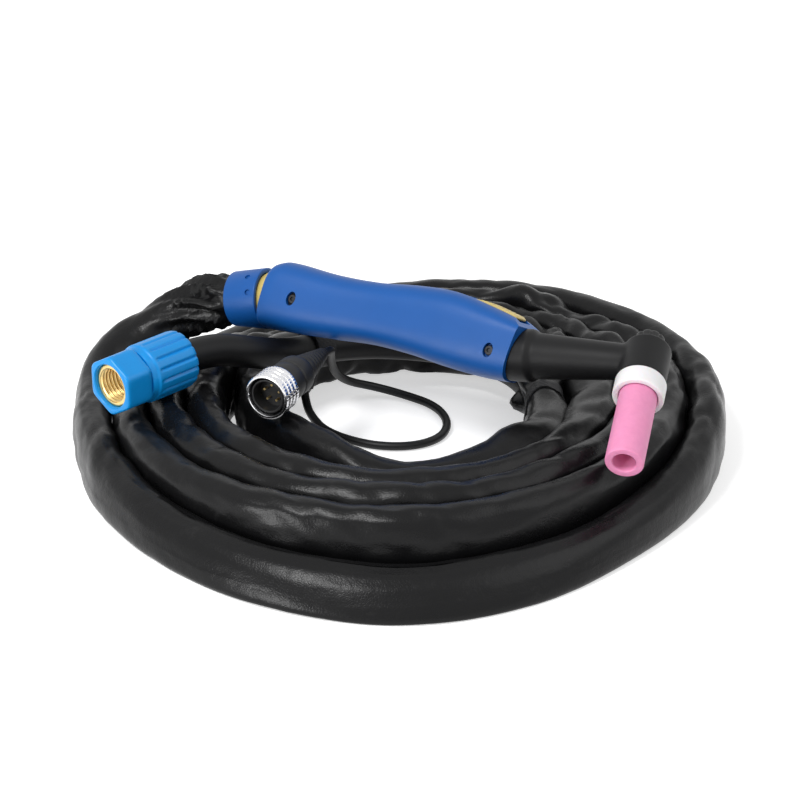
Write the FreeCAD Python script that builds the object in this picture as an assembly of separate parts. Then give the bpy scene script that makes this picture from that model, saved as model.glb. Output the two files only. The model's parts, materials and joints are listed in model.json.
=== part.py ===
"""TIG torch with a swivel handle, its coiled sleeve, gas and power cable and control plug.

The coil stands on the floor with its centre at the origin, +Z is up, and the viewer looks along +Y.
Lengths are in millimetres and angles in degrees.
"""
import FreeCAD, Part
import math
import os

V = FreeCAD.Vector

# General clearances, and a length that reaches past the whole torch
FAR = 300.0
RUNNING_GAP = 0.3        # between a piece and one that moves past it
PIN_GAP = 0.05           # radial, round a pin or shaft
SEAT_GAP = 0.05          # round a piece that is fixed in its seat
RUN_SHARE = 0.45         # of a straight run that the bend at each end may use

# Protective sleeve, wound into a coil on the floor
SLEEVE_THICKNESS = 14.6
SLEEVE_WIDTH = 33.5
SLEEVE_CORNER = 6.5
FLOOR_CUT = 0.5
TURN_GAP = 1.8
COIL_QUARTERS = 18
COIL_START_ANGLE = 180.0
COIL_START_RADIUS = 139.2
REAR_REACH = 14.0        # how much further the turns reach out at the back
COIL_TAIL = SLEEVE_THICKNESS
COIL_END_DRAW = 5.0      # how much the last quarter turn is drawn in
COIL_END_TURN_IN = 9.0   # and how much it turns inwards
LEAD_RADIUS = 7.9
LEAD_STRAIGHT = 12.0     # straight run at each end of the lead
SLEEVE_BAND_WALL = 0.9
SLEEVE_BAND_WIDTH = 9.0

# Torch lying on the coil: its ball centre, and how the handle points and rolls
SLEEVE_TOP = SLEEVE_WIDTH - FLOOR_CUT
BALL_HEIGHT = 21.0       # of the ball's centre over the coil
BALL_X = -56.6
BALL_Y = 47.4
HANDLE_HEADING = -28.5
HANDLE_RISE = 2.4
HANDLE_ROLL = 28.0
KNUCKLE_BEND = 8.7       # of the handle below the line of its collar

# Swivel ball and the collar that holds the sleeve on it
BALL_RADIUS = 12.4
BALL_FRONT = 8.2
BALL_BORE = 6.9
BALL_TAIL_RADIUS = 8.5
BALL_TAIL_LENGTH = 17.6
BALL_WINDOW_GAP = 0.4
CLIP_GROOVE_DEPTH = 0.6
CLIP_THICKNESS = 0.65
CLIP_RADIUS = 9.9
CLIP_OPENING = 5.0
COLLAR_FRONT = 5.5       # from the ball's centre
COLLAR_LENGTH = 16.5
COLLAR_FRONT_RADIUS = 13.6
COLLAR_REAR_RADIUS = 12.2
COLLAR_CHAMFER = 0.8
COLLAR_WEB = 3.5
COLLAR_POCKET = 10.2
LEAD_GRIP = 4.0

# Handle shells: distance along the handle, top, bottom and half width of the outline
HANDLE_REAR = -3.0
HANDLE_STATIONS = (
    (HANDLE_REAR, 14.3, 13.9, 14.0),
    (4.0, 16.4, 14.0, 14.3),
    (30.0, 14.2, 13.6, 13.6),
    (50.0, 13.9, 13.0, 13.2),
    (70.0, 15.4, 14.4, 13.6),
    (88.0, 15.4, 16.9, 14.0),
    (106.0, 11.6, 18.5, 13.9),
    (122.0, 7.2, 18.3, 13.2),
)
HANDLE_CORNER = 9.0
HANDLE_WALL = 2.4
HANDLE_END = 119.5       # where the end face crosses the neck
HANDLE_END_SLANT = 6.0
HANDLE_NOSE_Z = 4.8      # above this the end face leans back
HANDLE_NOSE_LEAN = 53.0
CAVITY_START = 17.0
CAVITY_LAP = 0.5         # of the ball's seat into the hollow
CAVITY_END = 100.0
SEAT_START = 3.0
SEAT_RADIUS = 12.0
SEAT_BORE = 7.6
SCREW_HEAD_RADIUS = 2.0
SCREW_HEAD_HEIGHT = 0.8
SCREW_SHANK_RADIUS = 1.1
REAR_SCREW_X = 13.6
REAR_SCREW_HEAD_AT = 12.9
REAR_SCREW_TIP_AT = 8.6
FRONT_SCREW_X = 110.5
FRONT_SCREW_HEAD_AT = 12.5
FRONT_SCREW_TIP_AT = 6.0

# Neck and head: the neck enters the handle low and rises to the head
HEAD_REACH = 175.2
HEAD_DROP = 1.0          # of the head's centre below the handle's line
NECK_DROP = 6.4          # of the neck below the handle's line, at the handle's end
NECK_HEAD_RADIUS = 7.6
NECK_RADIUS = 9.8
NECK_FLARE_RADIUS = 11.2
NECK_FLARE_PROUD = 8.4   # how far the flare stands out of the handle
NECK_FLARE_RAMP = 2.5
NECK_PLUG_RADIUS = 8.8
NECK_PLUG_DEPTH = 15.6   # in the handle
NECK_TUBE_RADIUS = 4.0
NECK_TUBE_BORE = 2.6
NECK_TUBE_PROUD = 6.0    # of the tube behind the neck's plug
HOSE_NUT_RADIUS = 5.2
HOSE_NUT_LENGTH = 10.0
HOSE_NUT_BACK = 0.5      # of the nut behind the neck's plug
TORCH_HOSE_RADIUS = 4.2
TORCH_HOSE_STRAIGHT = 8.0
TORCH_HOSE_POINTS = ((62.0, 0.0, -6.5), (38.0, 0.0, -2.5), (12.0, 0.0, 0.0))
HEAD_ANGLE = 80.7        # between the neck and the nozzle
HEAD_ROLL = 40.5         # of the nozzle round the neck, away from the trigger's plane
HEAD_RADIUS = 10.0
HEAD_FRONT = 12.0
HEAD_BACK = 7.9
CORE_RADIUS = 7.2
CORE_FRONT = 11.0
CORE_BACK = 6.4
CORE_BORE = 5.2

# Gasket, nozzle, collet and back cap
GASKET_RADIUS = 10.6
GASKET_THICKNESS = 8.6
GASKET_BORE = 6.2
NOZZLE_RADIUS = 7.8
NOZZLE_TIP = 57.4        # from the neck's line
NOZZLE_BORE = 4.75
NOZZLE_BORE_LENGTH = 18.0
NOZZLE_SOCKET = 6.2
NOZZLE_SEAT_DEPTH = 1.5
NOZZLE_RIM_ROUND = 0.6
COLLET_BODY_SHANK = 5.1
COLLET_BODY_START = 2.0
COLLET_BODY_FLANGE = 5.9
COLLET_BODY_THREAD = 6.1
COLLET_BODY_THREAD_LENGTH = 9.0
COLLET_BODY_NOSE = 4.0
COLLET_BODY_END = 38.0
COLLET_BORE = 1.7
COLLET_RADIUS = 1.65
COLLET_HOLE = 0.85
COLLET_START = -4.0
CAP_RADIUS = 6.6
CAP_END = 14.5
CAP_EDGE = 1.6           # of its rounded rim
CAP_FLOOR = 2.0
CAP_GRIP_COUNT = 10
CAP_GRIP_RADIUS = 0.9
CAP_GRIP_INSET = 1.0     # from both ends of the cap
CAP_STEM_RADIUS = 5.1
CAP_STEM_LENGTH = 5.9
CAP_BORE = 2.2
CAP_RING_SECTION = 0.6
CAP_RING_RADIUS = 5.9

# Trigger on the top of the handle, and the switch that it presses
TRIGGER_PIVOT_X = 85.0
TRIGGER_PIVOT_Z = 11.6
TRIGGER_PIN_RADIUS = 1.2
TRIGGER_PIN_LENGTH = 20.4
TRIGGER_HUB_RADIUS = 2.7
TRIGGER_WIDTH = 11.0
TRIGGER_END = 117.0
TRIGGER_PROUD = 0.8      # above the handle's top
TRIGGER_NOSE = 1.6       # thickness at the free end
TRIGGER_ROOT = 4.0       # thickness at the pivot's end
TRIGGER_CHAMFER = 1.4
TRIGGER_ARCH = 1.2       # how much the underside is hollowed
TRIGGER_SLOT_GAP = 0.4
TRIGGER_SLOT_START = 81.5
TRIGGER_SLOT_END = 119.0
TRIGGER_SLOT_FLOOR = 5.4
SWITCH_X = 86.0
SWITCH_LENGTH = 12.0
SWITCH_WIDTH = 6.4
SWITCH_HEIGHT = 6.0
SWITCH_FLOOR = -0.8
SWITCH_RIB_HEIGHT = 3.0
PLUNGER_X = 95.0
PLUNGER_RADIUS = 1.0
PLUNGER_DEPTH = 2.5
PLUNGER_RISE = 1.7
PLUNGER_ROOM = 1.0       # under it, for its travel
PRESS_BOSS_RADIUS = 1.8
SPRING_X = 108.0
SPRING_RADIUS = 2.2
SPRING_WALL = 0.6
SPRING_POCKET = 1.5
SPRING_TOP_DEPTH = 3.6   # of the spring's top below the lever's face
LEAD_WIRE_RADIUS = 1.2

# Gas and power cable, from the end of the sleeve to its connector
CABLE_RADIUS = 7.1
CABLE_STRAIGHT = 19.0    # straight run out of the sleeve
CABLE_POINTS = (
    (48.8, 50.4, 17.2),
    (34.7, 63.1, 18.5),
    (16.8, 69.6, 20.2),
    (-7.4, 69.1, 22.8),
    (-25.8, 62.6, 25.3),
    (-41.6, 51.1, 28.0),
    (-54.4, 36.4, 31.8),
    (-66.4, 18.6, 40.6),
)
CONNECTOR_MOUTH_X = -123.7
CONNECTOR_MOUTH_Y = -29.9
CONNECTOR_HEADING = 227.0
CONNECTOR_LENGTH = 39.5
CONNECTOR_HEX_LENGTH = 14.0
CONNECTOR_HEX_FLATS = 23.4
CONNECTOR_HEX_ROUND = 3.5
CONNECTOR_STEP_LENGTH = 3.0
CONNECTOR_STEP_RADIUS = 12.2
CONNECTOR_RADIUS = 12.7
CONNECTOR_FLUTES = 16
CONNECTOR_FLUTE_RADIUS = 1.0
CONNECTOR_FACE_DEPTH = 1.5
CONNECTOR_NUT_RADIUS = 9.4
CONNECTOR_NUT_END = 23.0
CONNECTOR_BORE = 6.8
CONNECTOR_BORE_LENGTH = 12.5
CONNECTOR_SHOULDER_BORE = 6.0
CONNECTOR_SHOULDER_LENGTH = 3.0
CONNECTOR_FLANGE_BORE = 8.0
SPIGOT_NOSE_RADIUS = 5.4
SPIGOT_FLANGE_RADIUS = 7.7
SPIGOT_FLANGE_LENGTH = 3.4
SPIGOT_BARREL_RADIUS = 6.6
SPIGOT_BORE = 3.0
SPIGOT_RING_SECTION = 0.7
SPIGOT_GROOVE_DEPTH = 0.9
CABLE_END_DEPTH = 28.0
FERRULE_WALL = 1.4
FERRULE_LENGTH = 10.5

# Control cable and its plug
CONTROL_RADIUS = 1.9
CONTROL_HEIGHT = 27.0    # of the control cable in the end of the sleeve
FLOOR_LINE = CONTROL_RADIUS + 0.2
CONTROL_STRAIGHT = 14.0
CONTROL_POINTS = (
    (58.5, 42.0, 25.5),
    (54.3, 58.2, 22.0),
    (37.7, 72.8, 21.5),
    (14.5, 79.7, 21.5),
    (-8.4, 78.6, 21.5),
    (-28.0, 72.5, 21.5),
    (-42.0, 64.5, 20.5),
    (-47.5, 57.5, 10.0),
    (-45.5, 45.5, FLOOR_LINE),
    (-42.0, 32.5, FLOOR_LINE),
    (-36.5, 20.5, FLOOR_LINE),
    (-26.0, 11.0, FLOOR_LINE),
    (-12.0, 4.5, FLOOR_LINE),
    (4.0, 5.0, FLOOR_LINE),
    (15.5, 14.0, FLOOR_LINE),
    (18.5, 30.0, FLOOR_LINE),
    (12.5, 46.5, FLOOR_LINE),
    (-1.0, 57.5, FLOOR_LINE),
    (-14.5, 59.0, 5.5),
    (-27.5, 52.0, 11.5),
    (-33.0, 42.0, 21.0),
    (-34.0, 32.0, 33.0),
)
PLUG_FRONT_X = -58.8
PLUG_FRONT_Y = -33.0
PLUG_HEADING = 243.5
PLUG_RING_RADIUS = 10.0
PLUG_RING_LENGTH = 11.0
PLUG_RING_BORE = 8.4
PLUG_RING_LIP_BORE = 7.7
PLUG_RING_LIP = 1.2
PLUG_RING_GROOVES = 3
PLUG_SHELL_RADIUS = 8.6
PLUG_SHELL_LENGTH = 30.0
PLUG_NOSE_RADIUS = 7.4
PLUG_NOSE_WALL = 0.9
PLUG_FLANGE_RADIUS = 8.1
PLUG_INSERT_DEPTH = 7.0
PLUG_INSERT_LENGTH = 6.0
PLUG_PIN_COUNT = 5
PLUG_PIN_RADIUS = 0.5
PLUG_PIN_CIRCLE = 3.6
PLUG_PIN_PROUD = 2.2
BOOT_START_RADIUS = 6.2
BOOT_END_RADIUS = 2.6
BOOT_LENGTH = 20.0
BOOT_STRAIGHT = 8.0     # straight run of the cable behind the boot

# Strap that ties the control cable to the power cable
STRAP_GAP = 0.45
STRAP_WALL = 1.5
STRAP_WIDTH = 10.0
STRAP_TAIL = 12.5


def heading(angle, rise=0.0):
    """Unit vector from an angle in plan, measured from +X, and a rise above the floor."""
    a, r = math.radians(angle), math.radians(rise)
    return V(math.cos(a) * math.cos(r), math.sin(a) * math.cos(r), math.sin(r))


def unit(vector):
    return V(vector).normalize()


def frame(origin, x_axis, z_axis):
    """Placement whose Z is z_axis and whose X is as near to x_axis as it can be."""
    z = unit(z_axis)
    x = unit(x_axis - z * x_axis.dot(z))
    y = z.cross(x)
    return FreeCAD.Placement(FreeCAD.Matrix(
        x.x, y.x, z.x, origin.x,
        x.y, y.y, z.y, origin.y,
        x.z, y.z, z.z, origin.z,
        0, 0, 0, 1))


def placed(shape, placement):
    moved = shape.copy()
    moved.transformShape(placement.toMatrix(), True)
    return moved


def disc(radius, start, end):
    return Part.makeCylinder(radius, end - start, V(0, 0, start))


def ring(outer, inner, start, end):
    return disc(outer, start, end).cut(disc(inner, start, end))


def box(x0, x1, y0, y1, z0, z1):
    return Part.makeBox(x1 - x0, y1 - y0, z1 - z0, V(x0, y0, z0))


def turned(outline):
    """Solid of revolution about Z from (radius, z) points."""
    points = [V(r, 0, z) for r, z in outline]
    face = Part.Face(Part.makePolygon(points + points[:1]))
    return face.revolve(V(0, 0, 0), V(0, 0, 1), 360)


def torus(radius, section, z):
    return Part.makeTorus(radius, section, V(0, 0, z))


def round_ring(radius, count, section, start, end):
    """Evenly spaced round bars parallel to Z, for cutting flutes."""
    bars = []
    for i in range(count):
        a = 2 * math.pi * i / count
        centre = V(radius * math.cos(a), radius * math.sin(a), start)
        bars.append(Part.makeCylinder(section, end - start, centre))
    return Part.makeCompound(bars)


def arc_from(start, tangent, end):
    """Arc that leaves start along tangent and ends at end, and the tangent there."""
    chord = end - start
    across = unit(chord)
    side = tangent - across * tangent.dot(across)
    if side.Length < 1e-9:
        return Part.LineSegment(start, end).toShape(), across
    half = tangent.getAngle(chord)
    middle = (start + end) * 0.5 + unit(side) * (chord.Length / 2 * math.tan(half / 2))
    end_tangent = across * (2 * math.cos(half)) - tangent
    return Part.Arc(start, middle, end).toShape(), unit(end_tangent)


def biarc(start, start_tangent, end, end_tangent):
    """Two tangent arcs that join two points with the given unit tangents."""
    v = end - start
    t = start_tangent + end_tangent
    a = 2 * (start_tangent.dot(end_tangent) - 1)
    b = -2 * v.dot(t)
    c = v.dot(v)
    reach = 2 * c / (-b + math.sqrt(b * b - 4 * a * c))
    joint = (start + start_tangent * reach + end - end_tangent * reach) * 0.5
    first, tangent = arc_from(start, start_tangent, joint)
    second, _ = arc_from(joint, tangent, end)
    return [first, second]


def coil_radius(angle):
    turn = (angle - COIL_START_ANGLE) / 360
    s = math.sin(math.radians(angle))
    return COIL_START_RADIUS - (SLEEVE_THICKNESS + TURN_GAP) * turn + REAR_REACH * s * (1 + s) / 2


def coil_point(angle):
    return heading(angle) * coil_radius(angle) + V(0, 0, SLEEVE_WIDTH / 2 - FLOOR_CUT)


def coil_end_point():
    angle = coil_angles()[-1]
    return coil_point(angle) - heading(angle) * COIL_END_DRAW


def coil_tangent(angle):
    step = 0.01
    return unit(coil_point(angle + step) - coil_point(angle - step))


def coil_angles():
    return [COIL_START_ANGLE + 90 * i for i in range(COIL_QUARTERS + 1)]


def coil_path():
    """Straight run, quarter turn biarcs that wind inwards, and a straight run."""
    angles = coil_angles()
    points = [coil_point(a) for a in angles[:-1]] + [coil_end_point()]
    tangents = [coil_tangent(a) for a in angles]
    inward = FreeCAD.Rotation(V(0, 0, 1), COIL_END_TURN_IN)
    tangents[-1] = inward.multVec(tangents[-1])
    edges = [Part.LineSegment(points[0] - tangents[0] * COIL_TAIL, points[0]).toShape()]
    for i in range(COIL_QUARTERS):
        edges += biarc(points[i], tangents[i], points[i + 1], tangents[i + 1])
    edges.append(Part.LineSegment(points[-1], points[-1] + tangents[-1] * COIL_TAIL).toShape())
    return edges, tangents[0], tangents[-1]


COIL_EDGES, COIL_START_TANGENT, COIL_END_TANGENT = coil_path()
COIL_START = coil_point(COIL_START_ANGLE) - COIL_START_TANGENT * COIL_TAIL
COIL_END = coil_end_point() + COIL_END_TANGENT * COIL_TAIL


def rounded_rectangle(half_width, bottom, top, corner, place):
    """Closed outline in the XY plane of place, with four arcs and four lines."""
    k = corner * math.sqrt(0.5)
    x, lo, hi = half_width, -bottom, top
    inset = [(x - corner, hi - corner), (-x + corner, hi - corner),
             (-x + corner, lo + corner), (x - corner, lo + corner)]
    ends = [((x, hi - corner), (x - corner, hi)), ((-x + corner, hi), (-x, hi - corner)),
            ((-x, lo + corner), (-x + corner, lo)), ((x - corner, lo), (x, lo + corner))]
    signs = [(1, 1), (-1, 1), (-1, -1), (1, -1)]
    edges = []
    for i in range(4):
        middle = (inset[i][0] + signs[i][0] * k, inset[i][1] + signs[i][1] * k)
        a, m, b = [V(p[0], p[1], 0) for p in (ends[i][0], middle, ends[i][1])]
        after = ends[(i + 1) % 4][0]
        edges.append(Part.Arc(a, m, b).toShape())
        edges.append(Part.LineSegment(b, V(after[0], after[1], 0)).toShape())
    return placed(Part.Wire(edges), place)


def least_turn_gap():
    """Smallest gap between a turn of the coil and the turn outside it, on points."""
    path = Part.Wire(COIL_EDGES)
    points = path.discretize(Distance=4.0)
    turn_length = 2 * math.pi * coil_radius(coil_angles()[-1])
    skip = int(turn_length * 0.6 / 4.0)
    least = min((a - b).Length for i, a in enumerate(points) for b in points[i + skip:])
    return least - SLEEVE_THICKNESS


def make_coil():
    """Sleeve wound on edge from the lead to its inner end, flat where it stands."""
    half = SLEEVE_WIDTH / 2
    place = frame(COIL_START, COIL_START_TANGENT.cross(V(0, 0, 1)), COIL_START_TANGENT)
    section = rounded_rectangle(SLEEVE_THICKNESS / 2, half, half, SLEEVE_CORNER, place)
    coil = Part.Wire(COIL_EDGES).makePipeShell([section], True, False)
    reach = COIL_START_RADIUS + REAR_REACH + SLEEVE_WIDTH
    under = box(-reach, reach, -reach, reach, -2 * FLOOR_CUT, 0)
    print("least gap of the coil to itself", round(least_turn_gap(), 2), "mm")
    return coil.cut(under)


def tube_path(points):
    """Straight runs joined by tangent arcs, each as large as its runs allow."""
    edges = []
    radii = []
    at = points[0]
    for before, corner, after in zip(points, points[1:], points[2:]):
        way_in, way_out = unit(corner - before), unit(after - corner)
        turn = way_in.getAngle(way_out)
        reach = RUN_SHARE * min((corner - before).Length, (after - corner).Length)
        radii.append(reach / math.tan(turn / 2))
        start, end = corner - way_in * reach, corner + way_out * reach
        edges.append(Part.LineSegment(at, start).toShape())
        edges.append(arc_from(start, way_in, end)[0])
        at = end
    edges.append(Part.LineSegment(at, points[-1]).toShape())
    return edges, radii


def tube(name, points, radius):
    points = [V(*p) for p in points]
    edges, radii = tube_path(points)
    wire = Part.Wire(edges)
    circle = Part.Wire(Part.makeCircle(radius, points[0], points[1] - points[0]))
    solid = wire.makePipeShell([circle], True, False)
    ratio = solid.Volume / (math.pi * radius ** 2 * wire.Length)
    print(name, "length", round(wire.Length, 1), "least radius", round(min(radii), 1),
          "volume ratio", round(ratio, 4))
    return solid


# Frames of the torch, the collar, the head, the connector and the plug
BALL_CENTRE = V(BALL_X, BALL_Y, SLEEVE_TOP + BALL_HEIGHT)
HANDLE_AXIS = heading(HANDLE_HEADING, HANDLE_RISE)
HANDLE_TOP = FreeCAD.Rotation(HANDLE_AXIS, -HANDLE_ROLL).multVec(
    unit(V(0, 0, 1) - HANDLE_AXIS * HANDLE_AXIS.z))
HANDLE_FRAME = frame(BALL_CENTRE, HANDLE_AXIS, HANDLE_TOP)
COLLAR_AXIS = unit(
    HANDLE_AXIS * math.cos(math.radians(KNUCKLE_BEND))
    + HANDLE_TOP * math.sin(math.radians(KNUCKLE_BEND)))
COLLAR_FRAME = frame(BALL_CENTRE, HANDLE_TOP, COLLAR_AXIS)
NECK_RISE = math.degrees(math.atan2(NECK_DROP - HEAD_DROP, HEAD_REACH - HANDLE_END))
NECK_EXIT = (HEAD_REACH - HANDLE_END) / math.cos(math.radians(NECK_RISE))
NECK_FLARE_START = NECK_EXIT - NECK_FLARE_PROUD
NECK_FLARE_END = NECK_FLARE_START + NECK_FLARE_RAMP
NECK_PLUG_END = NECK_EXIT + NECK_PLUG_DEPTH
NECK_TUBE_END = NECK_PLUG_END + NECK_TUBE_PROUD
NECK_AXIS = V(math.cos(math.radians(NECK_RISE)), 0, math.sin(math.radians(NECK_RISE)))
NECK_TOP = FreeCAD.Rotation(NECK_AXIS, -HEAD_ROLL).multVec(V(-NECK_AXIS.z, 0, NECK_AXIS.x))
HEAD_CENTRE = V(HEAD_REACH, 0, -HEAD_DROP)
NECK_LINE = frame(HEAD_CENTRE, NECK_TOP, NECK_AXIS * -1)
NOZZLE_AXIS = (NECK_AXIS * math.cos(math.radians(HEAD_ANGLE))
               - NECK_TOP * math.sin(math.radians(HEAD_ANGLE)))
HEAD_FRAME = frame(HEAD_CENTRE, NECK_AXIS, NOZZLE_AXIS)
CONNECTOR_SWEEP = math.hypot(CONNECTOR_HEX_FLATS / 2, CONNECTOR_HEX_FLATS / 2 * math.tan(math.pi / 6))
CONNECTOR_AXIS = heading(CONNECTOR_HEADING)
CONNECTOR_CENTRE_HEIGHT = SLEEVE_TOP + RUNNING_GAP + max(CONNECTOR_SWEEP, CONNECTOR_RADIUS)
CONNECTOR_FRAME = frame(
    V(CONNECTOR_MOUTH_X, CONNECTOR_MOUTH_Y, CONNECTOR_CENTRE_HEIGHT), V(0, 0, 1), CONNECTOR_AXIS)
PLUG_AXIS = heading(PLUG_HEADING)
PLUG_FRAME = frame(
    V(PLUG_FRONT_X, PLUG_FRONT_Y, SLEEVE_TOP + RUNNING_GAP + PLUG_RING_RADIUS), V(0, 0, 1), PLUG_AXIS)


def in_world(place, x, y, z):
    return place.multVec(V(x, y, z))


# Sleeve, its lead up to the collar, and the band round its inner end
LEAD_POINTS = (
    in_world(COLLAR_FRAME, 0, 0, -(COLLAR_FRONT + COLLAR_LENGTH - LEAD_GRIP)),
    in_world(COLLAR_FRAME, 0, 0, -(COLLAR_FRONT + COLLAR_LENGTH + LEAD_STRAIGHT)),
    V(-103.0, 65.2, 46.5),
    V(-116.5, 63.5, 43.3),
    V(-128.5, 58.0, 37.8),
    V(-136.5, 49.0, 30.0),
    V(-140.5, 37.5, 20.0),
    COIL_START - COIL_START_TANGENT * LEAD_STRAIGHT,
    COIL_START,
)


def make_lead():
    return tube("sleeve lead", LEAD_POINTS, LEAD_RADIUS)


def make_sleeve_band():
    """Tie band round the gathered inner end of the sleeve."""
    half = SLEEVE_WIDTH / 2
    start = COIL_END - COIL_END_TANGENT * (SLEEVE_BAND_WIDTH + 1.0)
    place = frame(start, V(0, 0, 1).cross(COIL_END_TANGENT), COIL_END_TANGENT)
    lap = SLEEVE_BAND_WALL + SEAT_GAP
    outer = rounded_rectangle(SLEEVE_THICKNESS / 2 + lap, half, half + lap, SLEEVE_CORNER + lap, place)
    inner = rounded_rectangle(
        SLEEVE_THICKNESS / 2 + SEAT_GAP, half, half + SEAT_GAP, SLEEVE_CORNER + SEAT_GAP, place)
    length = COIL_END_TANGENT * SLEEVE_BAND_WIDTH
    band = Part.Face(outer).extrude(length).cut(Part.Face(inner).extrude(length))
    reach = COIL_START_RADIUS
    return band.common(box(-reach, reach, -reach, reach, SLEEVE_CORNER, SLEEVE_WIDTH * 2))


# Collar, swivel ball and its clip
def make_collar():
    front = -COLLAR_FRONT
    rear = front - COLLAR_LENGTH
    web_back = -BALL_RADIUS - BALL_WINDOW_GAP - COLLAR_WEB
    c = COLLAR_CHAMFER
    body = turned([
        (0, rear), (COLLAR_REAR_RADIUS - c, rear), (COLLAR_REAR_RADIUS, rear + c),
        (COLLAR_FRONT_RADIUS, front - c), (COLLAR_FRONT_RADIUS - c, front), (0, front)])
    body = body.cut(Part.makeSphere(BALL_RADIUS + BALL_WINDOW_GAP))
    body = body.cut(disc(BALL_TAIL_RADIUS + RUNNING_GAP, rear, front))
    return body.cut(disc(COLLAR_POCKET, rear - 1, web_back))


def make_ball():
    """Ball with a tail through the collar, bored for the hose and grooved for the clip."""
    web_back = -BALL_RADIUS - BALL_WINDOW_GAP - COLLAR_WEB
    ball = Part.makeSphere(BALL_RADIUS).cut(disc(BALL_RADIUS * 2, BALL_FRONT, BALL_RADIUS * 2))
    ball = ball.fuse(disc(BALL_TAIL_RADIUS, -BALL_TAIL_LENGTH, 0)).removeSplitter()
    groove_top = web_back - RUNNING_GAP
    groove = ring(BALL_TAIL_RADIUS + 1, BALL_TAIL_RADIUS - CLIP_GROOVE_DEPTH,
                  groove_top - CLIP_THICKNESS - SEAT_GAP, groove_top)
    return ball.cut(groove).cut(disc(BALL_BORE, -BALL_TAIL_LENGTH, BALL_RADIUS))


def make_clip():
    top = -BALL_RADIUS - BALL_WINDOW_GAP - COLLAR_WEB - RUNNING_GAP - SEAT_GAP / 2
    clip = ring(CLIP_RADIUS, BALL_TAIL_RADIUS - CLIP_GROOVE_DEPTH + SEAT_GAP, top - CLIP_THICKNESS, top)
    half = CLIP_OPENING / 2
    return clip.cut(box(0, CLIP_RADIUS * 2, -half, half, -COLLAR_LENGTH * 2, 0))


def make_sleeve_clamp():
    """Crimp ring that fills the collar's pocket round the end of the sleeve."""
    rear = -(COLLAR_FRONT + COLLAR_LENGTH)
    return ring(COLLAR_POCKET - SEAT_GAP, LEAD_RADIUS + SEAT_GAP, rear + 0.2, rear + LEAD_GRIP - 0.2)


# Handle shells
def handle_section(x, top, bottom, half_width, inset):
    place = frame(V(x, 0, 0), V(0, -1, 0), V(-1, 0, 0))
    corner = HANDLE_CORNER - inset
    return rounded_rectangle(half_width - inset, bottom - inset, top - inset, corner, place)


def outline_at(x):
    """Top, bottom and half width between the handle's stations."""
    for a, b in zip(HANDLE_STATIONS, HANDLE_STATIONS[1:]):
        if a[0] <= x <= b[0]:
            share = (x - a[0]) / (b[0] - a[0])
            return tuple(a[i] + (b[i] - a[i]) * share for i in (1, 2, 3))
    return HANDLE_STATIONS[-1][1:]


def handle_loft(inset, start, end):
    stations = [(start,) + outline_at(start)]
    stations += [s for s in HANDLE_STATIONS if start + 4 < s[0] < end - 4]
    stations.append((end,) + outline_at(end))
    return Part.makeLoft([handle_section(*s, inset) for s in stations], True, False)


def along_neck(shape):
    """From a local frame with Z back along the neck to the handle's frame."""
    return placed(shape, NECK_LINE)


def screw(x, z, side, head_at, tip_at, gap):
    """One screw, or with a gap its hole, pointing to the middle from one side."""
    top = head_at + SCREW_HEAD_HEIGHT if gap == 0 else 2 * head_at
    shape = disc(SCREW_HEAD_RADIUS + gap, head_at, top)
    shape = shape.fuse(disc(SCREW_SHANK_RADIUS + gap, tip_at - gap, head_at))
    return placed(shape, frame(V(x, 0, z), V(1, 0, 0), V(0, side, 0)))


def screws(gap):
    neck_z = -NECK_DROP - (HANDLE_END - FRONT_SCREW_X) * math.tan(math.radians(NECK_RISE))
    places = ((REAR_SCREW_X, 0, REAR_SCREW_HEAD_AT, REAR_SCREW_TIP_AT),
              (FRONT_SCREW_X, neck_z, FRONT_SCREW_HEAD_AT, FRONT_SCREW_TIP_AT))
    solids = [screw(x, z, side, head, tip, gap) for x, z, head, tip in places for side in (-1, 1)]
    return Part.makeCompound(solids)


def end_block(gap):
    """Block past the handle's slanted end face, and a gap further."""
    tilt = NECK_RISE + HANDLE_END_SLANT
    axis = V(math.cos(math.radians(tilt)), 0, -math.sin(math.radians(tilt)))
    origin = V(HANDLE_END, 0, -NECK_DROP)
    return placed(box(-FAR, FAR, -FAR, FAR, gap, FAR), frame(origin, V(0, 1, 0), axis))


def trigger_pin_hole(gap):
    half = TRIGGER_PIN_LENGTH / 2 + gap
    pin = disc(TRIGGER_PIN_RADIUS + gap, -half, half)
    return placed(pin, frame(V(TRIGGER_PIVOT_X, 0, TRIGGER_PIVOT_Z), V(1, 0, 0), V(0, 1, 0)))


def switch_box(gap):
    half = SWITCH_WIDTH / 2 + gap
    return box(SWITCH_X - gap, SWITCH_X + SWITCH_LENGTH + gap, -half, half,
               SWITCH_FLOOR - gap, SWITCH_FLOOR + SWITCH_HEIGHT + gap)


def spring_floor():
    return TRIGGER_SLOT_FLOOR - SPRING_POCKET


def nose_block():
    """Half space in front of the end face's upper part."""
    start = HANDLE_END + (HANDLE_NOSE_Z + NECK_DROP) * math.tan(math.radians(NECK_RISE + HANDLE_END_SLANT))
    lean = math.radians(HANDLE_NOSE_LEAN)
    place = frame(V(start, 0, HANDLE_NOSE_Z), V(0, 1, 0), V(math.cos(lean), 0, math.sin(lean)))
    return placed(box(-FAR, FAR, -FAR, FAR, 0, FAR), place)


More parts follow.
